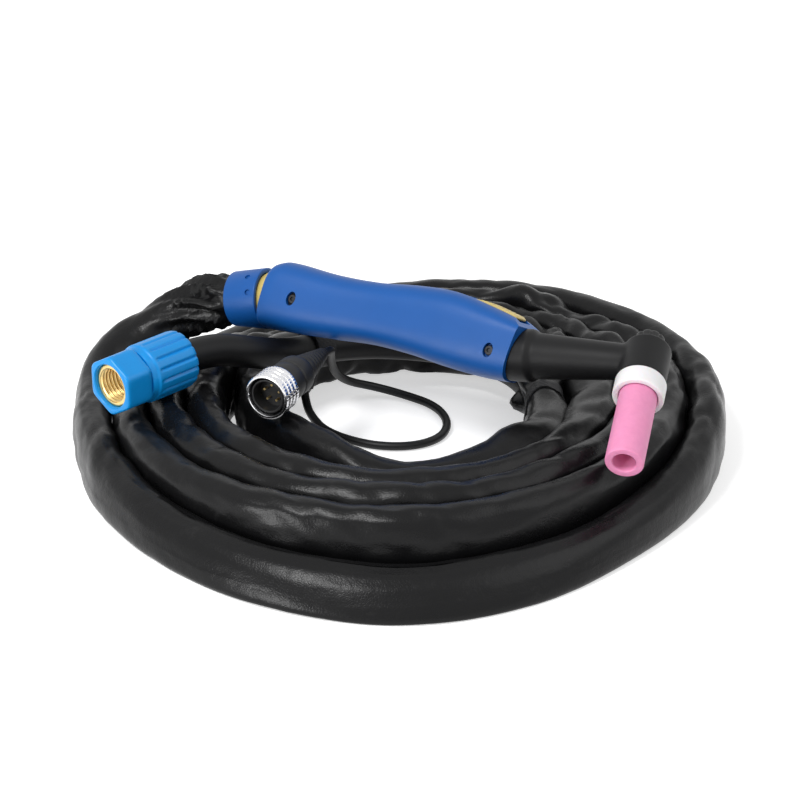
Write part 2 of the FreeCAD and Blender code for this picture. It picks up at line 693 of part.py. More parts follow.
def make_shells():
    """Both handle shells: hollow, with the ball's seat, the neck's bore, ribs and slots."""
    outer = handle_loft(0, HANDLE_REAR, HANDLE_STATIONS[-1][0]).cut(end_block(0)).cut(nose_block())
    cavity = handle_loft(HANDLE_WALL, CAVITY_START, CAVITY_END)
    rib = box(SWITCH_X + 2, SWITCH_X + SWITCH_LENGTH - 2, -FAR, FAR,
              SWITCH_FLOOR, SWITCH_FLOOR + SWITCH_RIB_HEIGHT)
    cavity = cavity.cut(rib)
    half = TRIGGER_WIDTH / 2 + TRIGGER_SLOT_GAP
    slot = box(TRIGGER_SLOT_START, TRIGGER_SLOT_END, -half, half, TRIGGER_SLOT_FLOOR, FAR)
    pocket = Part.makeCylinder(SPRING_RADIUS + RUNNING_GAP, FAR, V(SPRING_X, 0, spring_floor()))
    neck = disc(NECK_PLUG_RADIUS + SEAT_GAP, 0, NECK_PLUG_END + HOSE_NUT_BACK)
    neck = neck.fuse(disc(HOSE_NUT_RADIUS + RUNNING_GAP, 0, NECK_PLUG_END + HOSE_NUT_LENGTH))
    x_axis = frame(V(0, 0, 0), V(0, 0, 1), V(1, 0, 0))
    seat = placed(disc(SEAT_RADIUS, SEAT_START, CAVITY_START + CAVITY_LAP), x_axis)
    body = outer.cut(cavity)
    cutters = (Part.makeSphere(BALL_RADIUS + RUNNING_GAP), seat, along_neck(neck), slot, pocket,
               switch_box(SEAT_GAP), trigger_pin_hole(SEAT_GAP), screws(SEAT_GAP))
    for cutter in cutters:
        body = body.cut(cutter)
    near = body.common(box(-FAR, FAR, -FAR, 0, -FAR, FAR))
    far = body.common(box(-FAR, FAR, 0, FAR, -FAR, FAR))
    return near, far


def make_ball_seat():
    """Bush behind the ball, which both shells are screwed to."""
    bush = ring(SEAT_RADIUS - SEAT_GAP, SEAT_BORE, SEAT_START + SEAT_GAP, CAVITY_START)
    bush = placed(bush, frame(V(0, 0, 0), V(0, 0, 1), V(1, 0, 0)))
    return bush.cut(Part.makeSphere(BALL_RADIUS + RUNNING_GAP)).cut(screws(SEAT_GAP))


# Neck, head and what they hold
def make_body_cover():
    """Moulded neck and head in one, bored for the tube and the brass core."""
    neck = turned([
        (0, 0), (NECK_HEAD_RADIUS, 0), (NECK_HEAD_RADIUS, HEAD_RADIUS),
        (NECK_RADIUS, NECK_FLARE_START), (NECK_FLARE_RADIUS, NECK_FLARE_END),
        (NECK_FLARE_RADIUS, NECK_PLUG_END), (0, NECK_PLUG_END)])
    head = placed(disc(HEAD_RADIUS, -HEAD_BACK, HEAD_FRONT), HEAD_FRAME)
    neck = along_neck(neck).common(end_block(SEAT_GAP))
    plug = along_neck(disc(NECK_PLUG_RADIUS, NECK_FLARE_START, NECK_PLUG_END))
    cover = neck.fuse([head, plug]).removeSplitter()
    cover = cover.cut(along_neck(disc(NECK_TUBE_RADIUS + SEAT_GAP, 0, NECK_PLUG_END + 1)))
    core = disc(CORE_RADIUS + SEAT_GAP, -CORE_BACK - SEAT_GAP, HEAD_FRONT + 1)
    cap_way = disc(CAP_RING_RADIUS + CAP_RING_SECTION + RUNNING_GAP, -HEAD_BACK - 1, 0)
    cover = cover.cut(placed(core.fuse(cap_way), HEAD_FRAME))
    return cover.cut(screws(SEAT_GAP))


def make_head_core():
    core = ring(CORE_RADIUS, CORE_BORE, -CORE_BACK, CORE_FRONT)
    return placed(core, HEAD_FRAME).cut(along_neck(disc(NECK_TUBE_RADIUS + SEAT_GAP, 0, CORE_RADIUS * 2)))


def make_neck_tube():
    pipe = along_neck(ring(NECK_TUBE_RADIUS, NECK_TUBE_BORE, 0, NECK_TUBE_END))
    return pipe.cut(placed(disc(CORE_BORE, -HEAD_BACK, HEAD_FRONT), HEAD_FRAME))


def make_hose_nut():
    start = NECK_PLUG_END + HOSE_NUT_BACK
    nut = ring(HOSE_NUT_RADIUS, NECK_TUBE_RADIUS + SEAT_GAP, start, NECK_TUBE_END)
    cap = ring(HOSE_NUT_RADIUS, NECK_TUBE_BORE, NECK_TUBE_END, start + HOSE_NUT_LENGTH)
    return along_neck(nut.fuse(cap).removeSplitter())


def make_torch_hose():
    """Hose from the nut to the ball, inside the handle."""
    nut_end = NECK_PLUG_END + HOSE_NUT_BACK + HOSE_NUT_LENGTH
    start = in_world(NECK_LINE, 0, 0, nut_end)
    straight = in_world(NECK_LINE, 0, 0, nut_end + TORCH_HOSE_STRAIGHT)
    return tube("torch hose", (start, straight) + TORCH_HOSE_POINTS, TORCH_HOSE_RADIUS)


def make_gasket():
    front = HEAD_FRONT + GASKET_THICKNESS
    gasket = ring(GASKET_RADIUS, GASKET_BORE, HEAD_FRONT, front)
    seat = disc(NOZZLE_RADIUS + RUNNING_GAP, front - NOZZLE_SEAT_DEPTH - RUNNING_GAP, front + 1)
    return placed(gasket.cut(seat), HEAD_FRAME)


def make_nozzle():
    start = HEAD_FRONT + GASKET_THICKNESS - NOZZLE_SEAT_DEPTH
    cone_start = NOZZLE_TIP - NOZZLE_BORE_LENGTH
    r = NOZZLE_RIM_ROUND
    nozzle = turned([
        (NOZZLE_SOCKET, start), (NOZZLE_RADIUS, start), (NOZZLE_RADIUS, NOZZLE_TIP - r),
        (NOZZLE_RADIUS - r, NOZZLE_TIP), (NOZZLE_BORE, NOZZLE_TIP), (NOZZLE_BORE, cone_start),
        (NOZZLE_SOCKET, cone_start - 2.0)])
    return placed(nozzle, HEAD_FRAME)


def make_collet_body():
    """Turned copper body: shank in the core, flange, nozzle thread and gas nose."""
    thread_start = HEAD_FRONT + GASKET_THICKNESS - NOZZLE_SEAT_DEPTH
    thread_end = thread_start + COLLET_BODY_THREAD_LENGTH
    outline = [
        (COLLET_BORE, COLLET_BODY_START), (COLLET_BODY_SHANK, COLLET_BODY_START),
        (COLLET_BODY_SHANK, CORE_FRONT + SEAT_GAP), (COLLET_BODY_FLANGE, CORE_FRONT + SEAT_GAP),
        (COLLET_BODY_FLANGE, thread_start), (COLLET_BODY_THREAD, thread_start),
        (COLLET_BODY_THREAD, thread_end), (COLLET_BODY_NOSE, thread_end + 1.5),
        (COLLET_BODY_NOSE, COLLET_BODY_END), (COLLET_BORE, COLLET_BODY_END)]
    return placed(turned(outline), HEAD_FRAME)


def make_collet():
    collet = ring(COLLET_RADIUS, COLLET_HOLE, COLLET_START, COLLET_BODY_END - 0.5)
    slot = box(-0.2, 0.2, -4, 4, COLLET_BODY_END - 15, COLLET_BODY_END)
    return placed(collet.cut(slot), HEAD_FRAME)


def make_back_cap():
    """Short cap with grip flutes and a stem that screws into the core."""
    top = -HEAD_BACK - RUNNING_GAP
    stem_end = top + CAP_STEM_LENGTH
    e = CAP_EDGE
    cap = turned([
        (0, -CAP_END), (CAP_RADIUS - e * 0.7, -CAP_END), (CAP_RADIUS - e * 0.2, -CAP_END + e * 0.3),
        (CAP_RADIUS, -CAP_END + e), (CAP_RADIUS, top), (CAP_STEM_RADIUS, top),
        (CAP_STEM_RADIUS, stem_end), (0, stem_end)])
    bore = disc(CAP_BORE, -CAP_END + CAP_FLOOR, stem_end)
    grips = round_ring(CAP_RADIUS + CAP_GRIP_RADIUS * 0.4, CAP_GRIP_COUNT, CAP_GRIP_RADIUS,
                       -CAP_END + CAP_GRIP_INSET, top - CAP_GRIP_INSET)
    return placed(cap.cut(bore).cut(grips), HEAD_FRAME)


def make_cap_ring():
    z = -HEAD_BACK - RUNNING_GAP + CAP_RING_SECTION + SEAT_GAP
    return placed(torus(CAP_STEM_RADIUS + CAP_RING_SECTION + SEAT_GAP, CAP_RING_SECTION, z), HEAD_FRAME)


# Trigger and switch
def trigger_top(x):
    return outline_at(x)[0] + TRIGGER_PROUD


def make_trigger():
    """Lever with a hub on the pin and a boss over the switch's plunger."""
    half = TRIGGER_WIDTH / 2
    start = TRIGGER_PIVOT_X - TRIGGER_HUB_RADIUS
    middle = (start + TRIGGER_END) / 2
    nose = trigger_top(TRIGGER_END) - TRIGGER_NOSE
    root = trigger_top(TRIGGER_PIVOT_X) - TRIGGER_ROOT
    c = TRIGGER_CHAMFER
    crown = [(s[0], trigger_top(s[0])) for s in HANDLE_STATIONS if start + c < s[0] < TRIGGER_END - c]
    outline = [(start, TRIGGER_PIVOT_Z), (start, trigger_top(start) - c), (start + c, trigger_top(start + c))]
    outline += crown
    outline += [
        (TRIGGER_END - c, trigger_top(TRIGGER_END - c)), (TRIGGER_END, nose + c / 2),
        (TRIGGER_END - c / 2, nose), (middle, (nose + root) / 2 + TRIGGER_ARCH),
        (TRIGGER_PIVOT_X + TRIGGER_HUB_RADIUS + c, root)]
    points = [V(x, -half, z) for x, z in outline]
    lever = Part.Face(Part.makePolygon(points + points[:1])).extrude(V(0, TRIGGER_WIDTH, 0))
    across = frame(V(TRIGGER_PIVOT_X, 0, TRIGGER_PIVOT_Z), V(1, 0, 0), V(0, 1, 0))
    lever = lever.fuse(placed(disc(TRIGGER_HUB_RADIUS, -half, half), across))
    top = SWITCH_FLOOR + SWITCH_HEIGHT + PLUNGER_RISE + SEAT_GAP
    boss_top = trigger_top(PLUNGER_X) - TRIGGER_NOSE
    boss = Part.makeCylinder(PRESS_BOSS_RADIUS, boss_top - top, V(PLUNGER_X, 0, top))
    lever = lever.fuse(boss).removeSplitter()
    hole = placed(disc(TRIGGER_PIN_RADIUS + PIN_GAP, -half - 1, half + 1), across)
    return lever.cut(hole)


def make_switch_body():
    body = switch_box(0)
    well = SWITCH_FLOOR + SWITCH_HEIGHT - PLUNGER_DEPTH
    return body.cut(Part.makeCylinder(PLUNGER_RADIUS + PIN_GAP, PLUNGER_DEPTH, V(PLUNGER_X, 0, well)))


def make_plunger():
    """Button of the switch, with room under it for its travel."""
    bottom = SWITCH_FLOOR + SWITCH_HEIGHT - PLUNGER_DEPTH + PLUNGER_ROOM
    top = SWITCH_FLOOR + SWITCH_HEIGHT + PLUNGER_RISE
    return Part.makeCylinder(PLUNGER_RADIUS, top - bottom, V(PLUNGER_X, 0, bottom))


def make_spring():
    """Return spring between the handle and the lever, as a plain tube."""
    floor = spring_floor()
    height = trigger_top(SPRING_X) - SPRING_TOP_DEPTH - floor
    base = V(SPRING_X, 0, floor)
    outer = Part.makeCylinder(SPRING_RADIUS, height, base)
    return outer.cut(Part.makeCylinder(SPRING_RADIUS - SPRING_WALL, height, base))


def make_lead_wire():
    z = SWITCH_FLOOR + SWITCH_HEIGHT / 2
    points = ((SWITCH_X, 0, z), (SWITCH_X - 14, 0, z), (52, 0, 4.4), (30, 0, 5.6), (14, 0, 5.9))
    return tube("switch lead", points, LEAD_WIRE_RADIUS)


# Connector at the end of the power cable
def hexagon(flats, corner, start, end):
    across = flats / 2 / math.cos(math.pi / 6)
    corners = [V(across * math.cos(math.pi * i / 3), across * math.sin(math.pi * i / 3), start)
               for i in range(6)]
    prism = Part.Face(Part.makePolygon(corners + corners[:1])).extrude(V(0, 0, end - start))
    upright = [e for e in prism.Edges if abs(e.tangentAt(e.FirstParameter).z) > 0.99]
    return prism.makeFillet(corner, upright)


def make_connector_sleeve():
    """Insulated hand nut: rounded hexagon in front, a step, and a fluted round grip."""
    hex_end = -CONNECTOR_HEX_LENGTH
    step_end = hex_end - CONNECTOR_STEP_LENGTH
    rear = -CONNECTOR_LENGTH
    body = hexagon(CONNECTOR_HEX_FLATS, CONNECTOR_HEX_ROUND, hex_end, 0)
    body = body.fuse(disc(CONNECTOR_STEP_RADIUS, step_end, hex_end))
    grip = turned([
        (0, rear), (CONNECTOR_RADIUS - 1, rear), (CONNECTOR_RADIUS, rear + 1),
        (CONNECTOR_RADIUS, step_end), (0, step_end)])
    flutes = round_ring(CONNECTOR_RADIUS + CONNECTOR_FLUTE_RADIUS * 0.5, CONNECTOR_FLUTES,
                        CONNECTOR_FLUTE_RADIUS, rear, step_end - 1.0)
    body = body.fuse(grip.cut(flutes))
    body = body.cut(disc(CONNECTOR_NUT_RADIUS, -CONNECTOR_NUT_END, 1))
    return body.cut(disc(CABLE_RADIUS + FERRULE_WALL + 2 * RUNNING_GAP, rear - 1, 0))


def make_connector_nut():
    shoulder = -CONNECTOR_FACE_DEPTH - CONNECTOR_BORE_LENGTH
    flange = shoulder - CONNECTOR_SHOULDER_LENGTH
    nut = disc(CONNECTOR_NUT_RADIUS - SEAT_GAP, -CONNECTOR_NUT_END + SEAT_GAP, -CONNECTOR_FACE_DEPTH)
    nut = nut.cut(disc(CONNECTOR_BORE, shoulder, 0))
    nut = nut.cut(disc(CONNECTOR_SHOULDER_BORE, flange, shoulder))
    return nut.cut(disc(CONNECTOR_FLANGE_BORE, -CONNECTOR_NUT_END, flange))


def spigot_places():
    """Where the spigot's flange, nose and groove lie behind the connector's mouth."""
    flange = -CONNECTOR_FACE_DEPTH - CONNECTOR_BORE_LENGTH - CONNECTOR_SHOULDER_LENGTH - RUNNING_GAP
    nose = -CONNECTOR_FACE_DEPTH - CONNECTOR_BORE_LENGTH - 0.5
    return flange, nose, (flange + nose) / 2


def make_spigot():
    """Brass core with a flange behind the nut's shoulder and a barrel in the cable."""
    flange, nose, groove = spigot_places()
    body = disc(SPIGOT_NOSE_RADIUS, flange, nose)
    body = body.fuse(disc(SPIGOT_FLANGE_RADIUS, flange - SPIGOT_FLANGE_LENGTH, flange))
    body = body.fuse(disc(SPIGOT_BARREL_RADIUS, -CABLE_END_DEPTH, flange - SPIGOT_FLANGE_LENGTH))
    half = SPIGOT_RING_SECTION + SEAT_GAP
    body = body.cut(ring(SPIGOT_NOSE_RADIUS + 1, SPIGOT_NOSE_RADIUS - SPIGOT_GROOVE_DEPTH,
                         groove - half, groove + half))
    return body.removeSplitter().cut(disc(SPIGOT_BORE, -CABLE_END_DEPTH, nose))


def make_spigot_ring():
    centre = SPIGOT_NOSE_RADIUS - SPIGOT_GROOVE_DEPTH + SPIGOT_RING_SECTION + SEAT_GAP / 2
    return torus(centre, SPIGOT_RING_SECTION, spigot_places()[2])


def make_ferrule():
    start = -CABLE_END_DEPTH - FERRULE_LENGTH
    return ring(CABLE_RADIUS + SEAT_GAP + FERRULE_WALL, CABLE_RADIUS + SEAT_GAP, start, -CABLE_END_DEPTH)


def make_cable():
    start = COIL_END
    rear = in_world(CONNECTOR_FRAME, 0, 0, -CABLE_END_DEPTH)
    before = in_world(CONNECTOR_FRAME, 0, 0, -CONNECTOR_LENGTH - 15.0)
    out = start + COIL_END_TANGENT * CABLE_STRAIGHT
    points = (start, out) + CABLE_POINTS + (before, rear)
    return tube("power cable", points, CABLE_RADIUS)


# Control cable, plug and strap
def make_plug_ring():
    """Knurled coupling ring that turns on the front of the plug."""
    body = ring(PLUG_RING_RADIUS, PLUG_RING_BORE, -PLUG_RING_LENGTH, 0)
    lip = ring(PLUG_RING_BORE + 0.2, PLUG_RING_LIP_BORE, -PLUG_RING_LENGTH, -PLUG_RING_LENGTH + PLUG_RING_LIP)
    body = body.fuse(lip).removeSplitter()
    pitch = PLUG_RING_LENGTH / (PLUG_RING_GROOVES + 1)
    for i in range(PLUG_RING_GROOVES):
        body = body.cut(torus(PLUG_RING_RADIUS + 0.2, 0.7, -pitch * (i + 1)))
    return body


def make_plug_shell():
    """Plug body: a nose inside the coupling ring, a flange that holds it, and the grip."""
    lip_back = -PLUG_RING_LENGTH
    flange_back = lip_back + PLUG_RING_LIP + RUNNING_GAP
    grip_start = lip_back - RUNNING_GAP
    rear = -PLUG_SHELL_LENGTH
    nose_bore = PLUG_NOSE_RADIUS - PLUG_NOSE_WALL
    body = turned([
        (0, rear), (PLUG_SHELL_RADIUS - 2.0, rear), (PLUG_SHELL_RADIUS, rear + 4),
        (PLUG_SHELL_RADIUS, grip_start), (PLUG_NOSE_RADIUS, grip_start), (PLUG_NOSE_RADIUS, flange_back),
        (PLUG_FLANGE_RADIUS, flange_back), (PLUG_FLANGE_RADIUS, flange_back + 1.5),
        (PLUG_NOSE_RADIUS, flange_back + 1.5), (PLUG_NOSE_RADIUS, -1.0), (0, -1.0)])
    floor = -PLUG_INSERT_DEPTH - PLUG_INSERT_LENGTH
    body = body.cut(disc(nose_bore, floor, 0))
    return body.cut(disc(CONTROL_RADIUS + SEAT_GAP, rear, floor))


def make_plug_insert():
    start = -PLUG_INSERT_DEPTH - PLUG_INSERT_LENGTH
    insert = disc(PLUG_NOSE_RADIUS - PLUG_NOSE_WALL - SEAT_GAP, start, -PLUG_INSERT_DEPTH)
    return insert.cut(round_ring(PLUG_PIN_CIRCLE, PLUG_PIN_COUNT, PLUG_PIN_RADIUS + SEAT_GAP,
                                 start, -PLUG_INSERT_DEPTH))


def make_plug_pins():
    start = -PLUG_INSERT_DEPTH - PLUG_INSERT_LENGTH
    return round_ring(PLUG_PIN_CIRCLE, PLUG_PIN_COUNT, PLUG_PIN_RADIUS,
                      start, -PLUG_INSERT_DEPTH + PLUG_PIN_PROUD)


def make_plug_boot():
    start = -PLUG_SHELL_LENGTH
    boot = turned([(CONTROL_RADIUS + SEAT_GAP, start), (BOOT_START_RADIUS, start),
                   (BOOT_START_RADIUS, start - 3), (BOOT_END_RADIUS, start - BOOT_LENGTH),
                   (CONTROL_RADIUS + SEAT_GAP, start - BOOT_LENGTH)])
    return boot


def make_control_cable():
    start = V(COIL_END.x, COIL_END.y, CONTROL_HEIGHT)
    boot_end = in_world(PLUG_FRAME, 0, 0, -PLUG_SHELL_LENGTH - BOOT_LENGTH - BOOT_STRAIGHT)
    end = in_world(PLUG_FRAME, 0, 0, -PLUG_SHELL_LENGTH - 2)
    out = start + COIL_END_TANGENT * CONTROL_STRAIGHT
    points = (start, out) + CONTROL_POINTS + (boot_end, end)
    return tube("control cable", points, CONTROL_RADIUS)


def make_strap():
    """Strap round the power cable, with its tail down to the control cable."""
    before, corner, after = [V(*p) for p in CABLE_POINTS[4:7]]
    way_in, way_out = unit(corner - before), unit(after - corner)
    half_turn = way_in.getAngle(way_out) / 2
    radius = RUN_SHARE * min((corner - before).Length, (after - corner).Length) / math.tan(half_turn)
    middle = corner + unit(way_out - way_in) * (radius / math.cos(half_turn) - radius)
    place = frame(middle, V(0, 0, -1), unit(way_in + way_out))
    half = STRAP_WIDTH / 2
    inner = CABLE_RADIUS + STRAP_GAP
    strap = ring(inner + STRAP_WALL, inner, -half, half)
    tail = box(inner, inner + STRAP_TAIL, -STRAP_WALL - 0.5, -0.5, -half, half)
    return placed(strap.fuse(tail).removeSplitter(), place)


def in_handle(shape):
    return placed(shape, HANDLE_FRAME)


def in_collar(shape):
    return placed(shape, COLLAR_FRAME)


def in_connector(shape):
    return placed(shape, CONNECTOR_FRAME)


def in_plug(shape):
    return placed(shape, PLUG_FRAME)


def build():
    near, far = make_shells()
    parts = {
        "cable_sleeve_coil": make_coil(),
        "cable_sleeve_lead": make_lead(),
        "sleeve_end_band": make_sleeve_band(),
        "sleeve_collar": in_collar(make_collar()),
        "sleeve_clamp_ring": in_collar(make_sleeve_clamp()),
        "swivel_ball": in_collar(make_ball()),
        "swivel_clip": in_collar(make_clip()),
        "ball_seat": in_handle(make_ball_seat()),
        "handle_shell_near": in_handle(near),
        "handle_shell_far": in_handle(far),
        "handle_screws": in_handle(screws(0)),
        "neck_cover": in_handle(make_body_cover()),
        "head_core": in_handle(make_head_core()),
        "neck_tube": in_handle(make_neck_tube()),
        "hose_nut": in_handle(make_hose_nut()),
        "torch_hose": in_handle(make_torch_hose()),
        "gasket": in_handle(make_gasket()),
        "nozzle": in_handle(make_nozzle()),
        "collet_body": in_handle(make_collet_body()),
        "collet": in_handle(make_collet()),
        "back_cap": in_handle(make_back_cap()),
        "back_cap_ring": in_handle(make_cap_ring()),
        "trigger": in_handle(make_trigger()),
        "trigger_pin": in_handle(trigger_pin_hole(0)),
        "trigger_spring": in_handle(make_spring()),
        "switch_body": in_handle(make_switch_body()),
        "switch_plunger": in_handle(make_plunger()),
        "switch_lead": in_handle(make_lead_wire()),
        "power_cable": make_cable(),
        "connector_sleeve": in_connector(make_connector_sleeve()),
        "connector_nut": in_connector(make_connector_nut()),
        "connector_spigot": in_connector(make_spigot()),
        "connector_seal": in_connector(make_spigot_ring()),
        "connector_ferrule": in_connector(make_ferrule()),
        "control_cable": make_control_cable(),
        "plug_coupling_ring": in_plug(make_plug_ring()),
        "plug_shell": in_plug(make_plug_shell()),
        "plug_insert": in_plug(make_plug_insert()),
        "plug_pins": in_plug(make_plug_pins()),
        "plug_boot": in_plug(make_plug_boot()),
        "cable_strap": make_strap(),
    }
    return parts


os.makedirs("parts", exist_ok=True)
PARTS = build()
for name, shape in PARTS.items():
    shape.exportStep("parts/" + name + ".step")
    solids = len(shape.Solids)
    print(name, "solids", solids, "valid", shape.isValid(), "volume", round(shape.Volume, 1))
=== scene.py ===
# %% [markdown]
# # A TIG torch on its coiled leather sleeve
#
# The torch has a blue handle that swivels on a ball, a black neck and head, and a ceramic nozzle.
# A long leather sleeve protects its hose and wires, and lies in a coil under it. The cables that
# come out of the sleeve end in a blue connector and a chrome plug.
#
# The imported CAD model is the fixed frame: it says where each piece is and how it moves. Everything
# below is modelled in millimetres and scaled to metres when its object is made.

# %% The frame
import json
import math

import bmesh
import bpy
from mathutils import Matrix, Vector, noise


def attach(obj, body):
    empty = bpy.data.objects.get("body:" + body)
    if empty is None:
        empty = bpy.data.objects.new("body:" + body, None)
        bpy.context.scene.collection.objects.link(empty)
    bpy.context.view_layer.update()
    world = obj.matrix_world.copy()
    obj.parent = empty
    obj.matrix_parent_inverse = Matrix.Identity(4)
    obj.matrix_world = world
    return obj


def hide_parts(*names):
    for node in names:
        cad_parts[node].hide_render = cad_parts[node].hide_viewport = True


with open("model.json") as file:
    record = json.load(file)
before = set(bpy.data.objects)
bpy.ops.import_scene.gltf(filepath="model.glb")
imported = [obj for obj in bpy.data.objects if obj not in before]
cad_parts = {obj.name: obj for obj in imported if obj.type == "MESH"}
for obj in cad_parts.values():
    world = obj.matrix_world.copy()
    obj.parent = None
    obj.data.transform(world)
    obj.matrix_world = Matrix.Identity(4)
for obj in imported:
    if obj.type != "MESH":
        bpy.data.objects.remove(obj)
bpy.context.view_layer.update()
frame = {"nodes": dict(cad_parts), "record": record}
NODE_SLOTS = {row["node"]: row["material_slot"] for row in frame["record"]["subparts"]}

# %% [markdown]
# ## Places
#
# The handle, the collar behind it, the head, the connector and the plug each have a frame of their
# own, with the same values as in the CAD source. A piece is modelled upright in its own frame and
# then moved to its place in one step.

# %% Frames of the pieces
MM = 0.001
UP = Vector((0, 0, 1))


def heading(angle, rise=0.0):
    """Unit vector from an angle in plan and a rise above the floor, in degrees."""
    a, r = math.radians(angle), math.radians(rise)
    return Vector((math.cos(a) * math.cos(r), math.sin(a) * math.cos(r), math.sin(r)))


def frame_at(origin, x_axis, z_axis):
    """Matrix whose Z is z_axis and whose X is as near to x_axis as it can be."""
    z = Vector(z_axis).normalized()
    x = (Vector(x_axis) - z * z.dot(x_axis)).normalized()
    turn = Matrix((x, z.cross(x), z)).transposed().to_4x4()
    return Matrix.Translation(origin) @ turn


BALL_CENTRE = Vector((-56.6, 47.4, 54.0))
HANDLE_AXIS = heading(-28.5, 2.4)
HANDLE_TOP = (Matrix.Rotation(math.radians(-28.0), 3, HANDLE_AXIS)
              @ (UP - HANDLE_AXIS * HANDLE_AXIS.z).normalized())
KNUCKLE_BEND = math.radians(8.7)
COLLAR_AXIS = HANDLE_AXIS * math.cos(KNUCKLE_BEND) + HANDLE_TOP * math.sin(KNUCKLE_BEND)
HANDLE = frame_at(BALL_CENTRE, HANDLE_AXIS, HANDLE_TOP)
COLLAR = frame_at(BALL_CENTRE, HANDLE_TOP, COLLAR_AXIS)

HANDLE_END = 119.5
HEAD_CENTRE = Vector((175.2, 0, -1.0))
NECK_DROP = 6.4
NECK_RISE = math.atan2(NECK_DROP + HEAD_CENTRE.z, HEAD_CENTRE.x - HANDLE_END)
NECK_EXIT = (HEAD_CENTRE.x - HANDLE_END) / math.cos(NECK_RISE)
NECK_AXIS = Vector((math.cos(NECK_RISE), 0, math.sin(NECK_RISE)))
NECK_TOP = (Matrix.Rotation(math.radians(-40.5), 3, NECK_AXIS)
            @ Vector((-NECK_AXIS.z, 0, NECK_AXIS.x)))
HEAD_ANGLE = math.radians(80.7)
NOZZLE_AXIS = NECK_AXIS * math.cos(HEAD_ANGLE) - NECK_TOP * math.sin(HEAD_ANGLE)
NECK = HANDLE @ frame_at(HEAD_CENTRE, NECK_TOP, -NECK_AXIS)
HEAD = HANDLE @ frame_at(HEAD_CENTRE, NECK_AXIS, NOZZLE_AXIS)

CONNECTOR_AXIS = heading(227.0)
CONNECTOR = frame_at(Vector((-123.7, -29.9, 46.81)), UP, CONNECTOR_AXIS)
PLUG_AXIS = heading(243.5)
PLUG = frame_at(Vector((-58.8, -33.0, 43.3)), UP, PLUG_AXIS)
print("head at", [round(c, 1) for c in HEAD.translation], "mm")

# %% [markdown]
# ## Shader maths as Python
#
# A socket that is wrapped in a small class can be added, multiplied or subtracted like a number, and
# the expression adds the Math nodes. Every other node comes from one method, which takes the node's
# type, its settings and its sockets.

# %% Sockets and finishes


class Value:
    """An output socket that builds Math nodes when it is used in an expression."""

    def __init__(self, finish, socket):
        self.finish = finish
        self.socket = socket

    def maths(self, operation, first, second=0.0):
        return self.finish.node("ShaderNodeMath", {"operation": operation}, {0: first, 1: second})

    def __add__(self, other):
        return self.maths("ADD", self, other)

    def __radd__(self, other):
        return self.maths("ADD", other, self)

    def __sub__(self, other):
        return self.maths("SUBTRACT", self, other)

    def __rsub__(self, other):
        return self.maths("SUBTRACT", other, self)

    def __mul__(self, other):
        return self.maths("MULTIPLY", self, other)

    def __rmul__(self, other):
        return self.maths("MULTIPLY", other, self)

    def over(self, start, end):
        """0 below start, 1 above end, and smooth between them."""
        sockets = {0: self, 1: start, 2: end, 3: 0.0, 4: 1.0}
        settings = {"interpolation_type": "SMOOTHSTEP"}
        return self.finish.node("ShaderNodeMapRange", settings, sockets)


class Finish:
    """A material: a shader with constant sockets, and nodes for what changes over the surface."""

    def __init__(self, name, **constants):
        self.material = bpy.data.materials.new(name)
        self.material.use_nodes = True
        self.nodes = self.material.node_tree.nodes
        self.links = self.material.node_tree.links
        self.nodes.clear()
        self.shader = self.nodes.new("ShaderNodeBsdfPrincipled")
        output = self.nodes.new("ShaderNodeOutputMaterial")
        self.links.new(self.shader.outputs[0], output.inputs["Surface"])
        self.normal = None
        for key, value in constants.items():
            self.feed(self.shader.inputs[key.replace("_", " ").title().replace("Ior", "IOR")], value)

    def feed(self, socket, value):
        if isinstance(value, Value):
            self.links.new(value.socket, socket)
        elif isinstance(value, (tuple, list)) and len(value) == 3 and socket.type == "RGBA":
            socket.default_value = (*value, 1.0)
        else:
            socket.default_value = value

    def node(self, kind, settings, sockets, output=0):
        """Adds a node: its settings are made first, then its sockets are set or linked."""
        made = self.nodes.new(kind)
        for name, value in settings.items():
            setattr(made, name, value)
        for name, value in sockets.items():
            self.feed(made.inputs[name], value)
        return Value(self, made.outputs[output])

    def place(self, stretch=(1, 1, 1)):
        """Object coordinates, stretched by a Mapping node."""
        at = self.node("ShaderNodeTexCoord", {}, {}, "Object")
        return self.node("ShaderNodeMapping", {}, {"Vector": at, "Scale": stretch})

    def clouds(self, size, detail=3.0, roughness=0.55, at=None):
        """Noise whose features are about size millimetres."""
        sockets = {"Vector": at or self.place(), "Scale": 1 / (size * MM), "Detail": detail,
                   "Roughness": roughness}
        return self.node("ShaderNodeTexNoise", {}, sockets, "Fac")

    def cells(self, size, at=None):
        """Distance to the edge of Voronoi cells of about size millimetres."""
        sockets = {"Vector": at or self.place(), "Scale": 1 / (size * MM)}
        return self.node("ShaderNodeTexVoronoi", {"feature": "DISTANCE_TO_EDGE"}, sockets, "Distance")

    def mixed(self, share, first, second):
        """A colour between two others."""
        return self.node("ShaderNodeMix", {"data_type": "RGBA"}, {0: share, 6: first, 7: second}, 2)

    def bump(self, height, depth):
        """Adds relief of depth millimetres to the shader's normal."""
        sockets = {"Height": height, "Distance": depth * MM, "Strength": 1.0}
        if self.normal:
            sockets["Normal"] = self.normal
        self.normal = self.node("ShaderNodeBump", {}, sockets, "Normal")
        self.feed(self.shader.inputs["Normal"], self.normal)

    def colour(self, value):
        self.feed(self.shader.inputs["Base Color"], value)

    def roughness(self, value):
        self.feed(self.shader.inputs["Roughness"], value)


FINISHES = {}
print("finish tools ready")

# %% [markdown]
# ## Leather of the sleeve
#
# The sleeve is black split leather with a dressed face: a fine pebble grain, a soft gloss that
# changes from place to place, and paler scuffs. Voronoi cells make the pebbles, and two scales of
# noise break up the gloss.

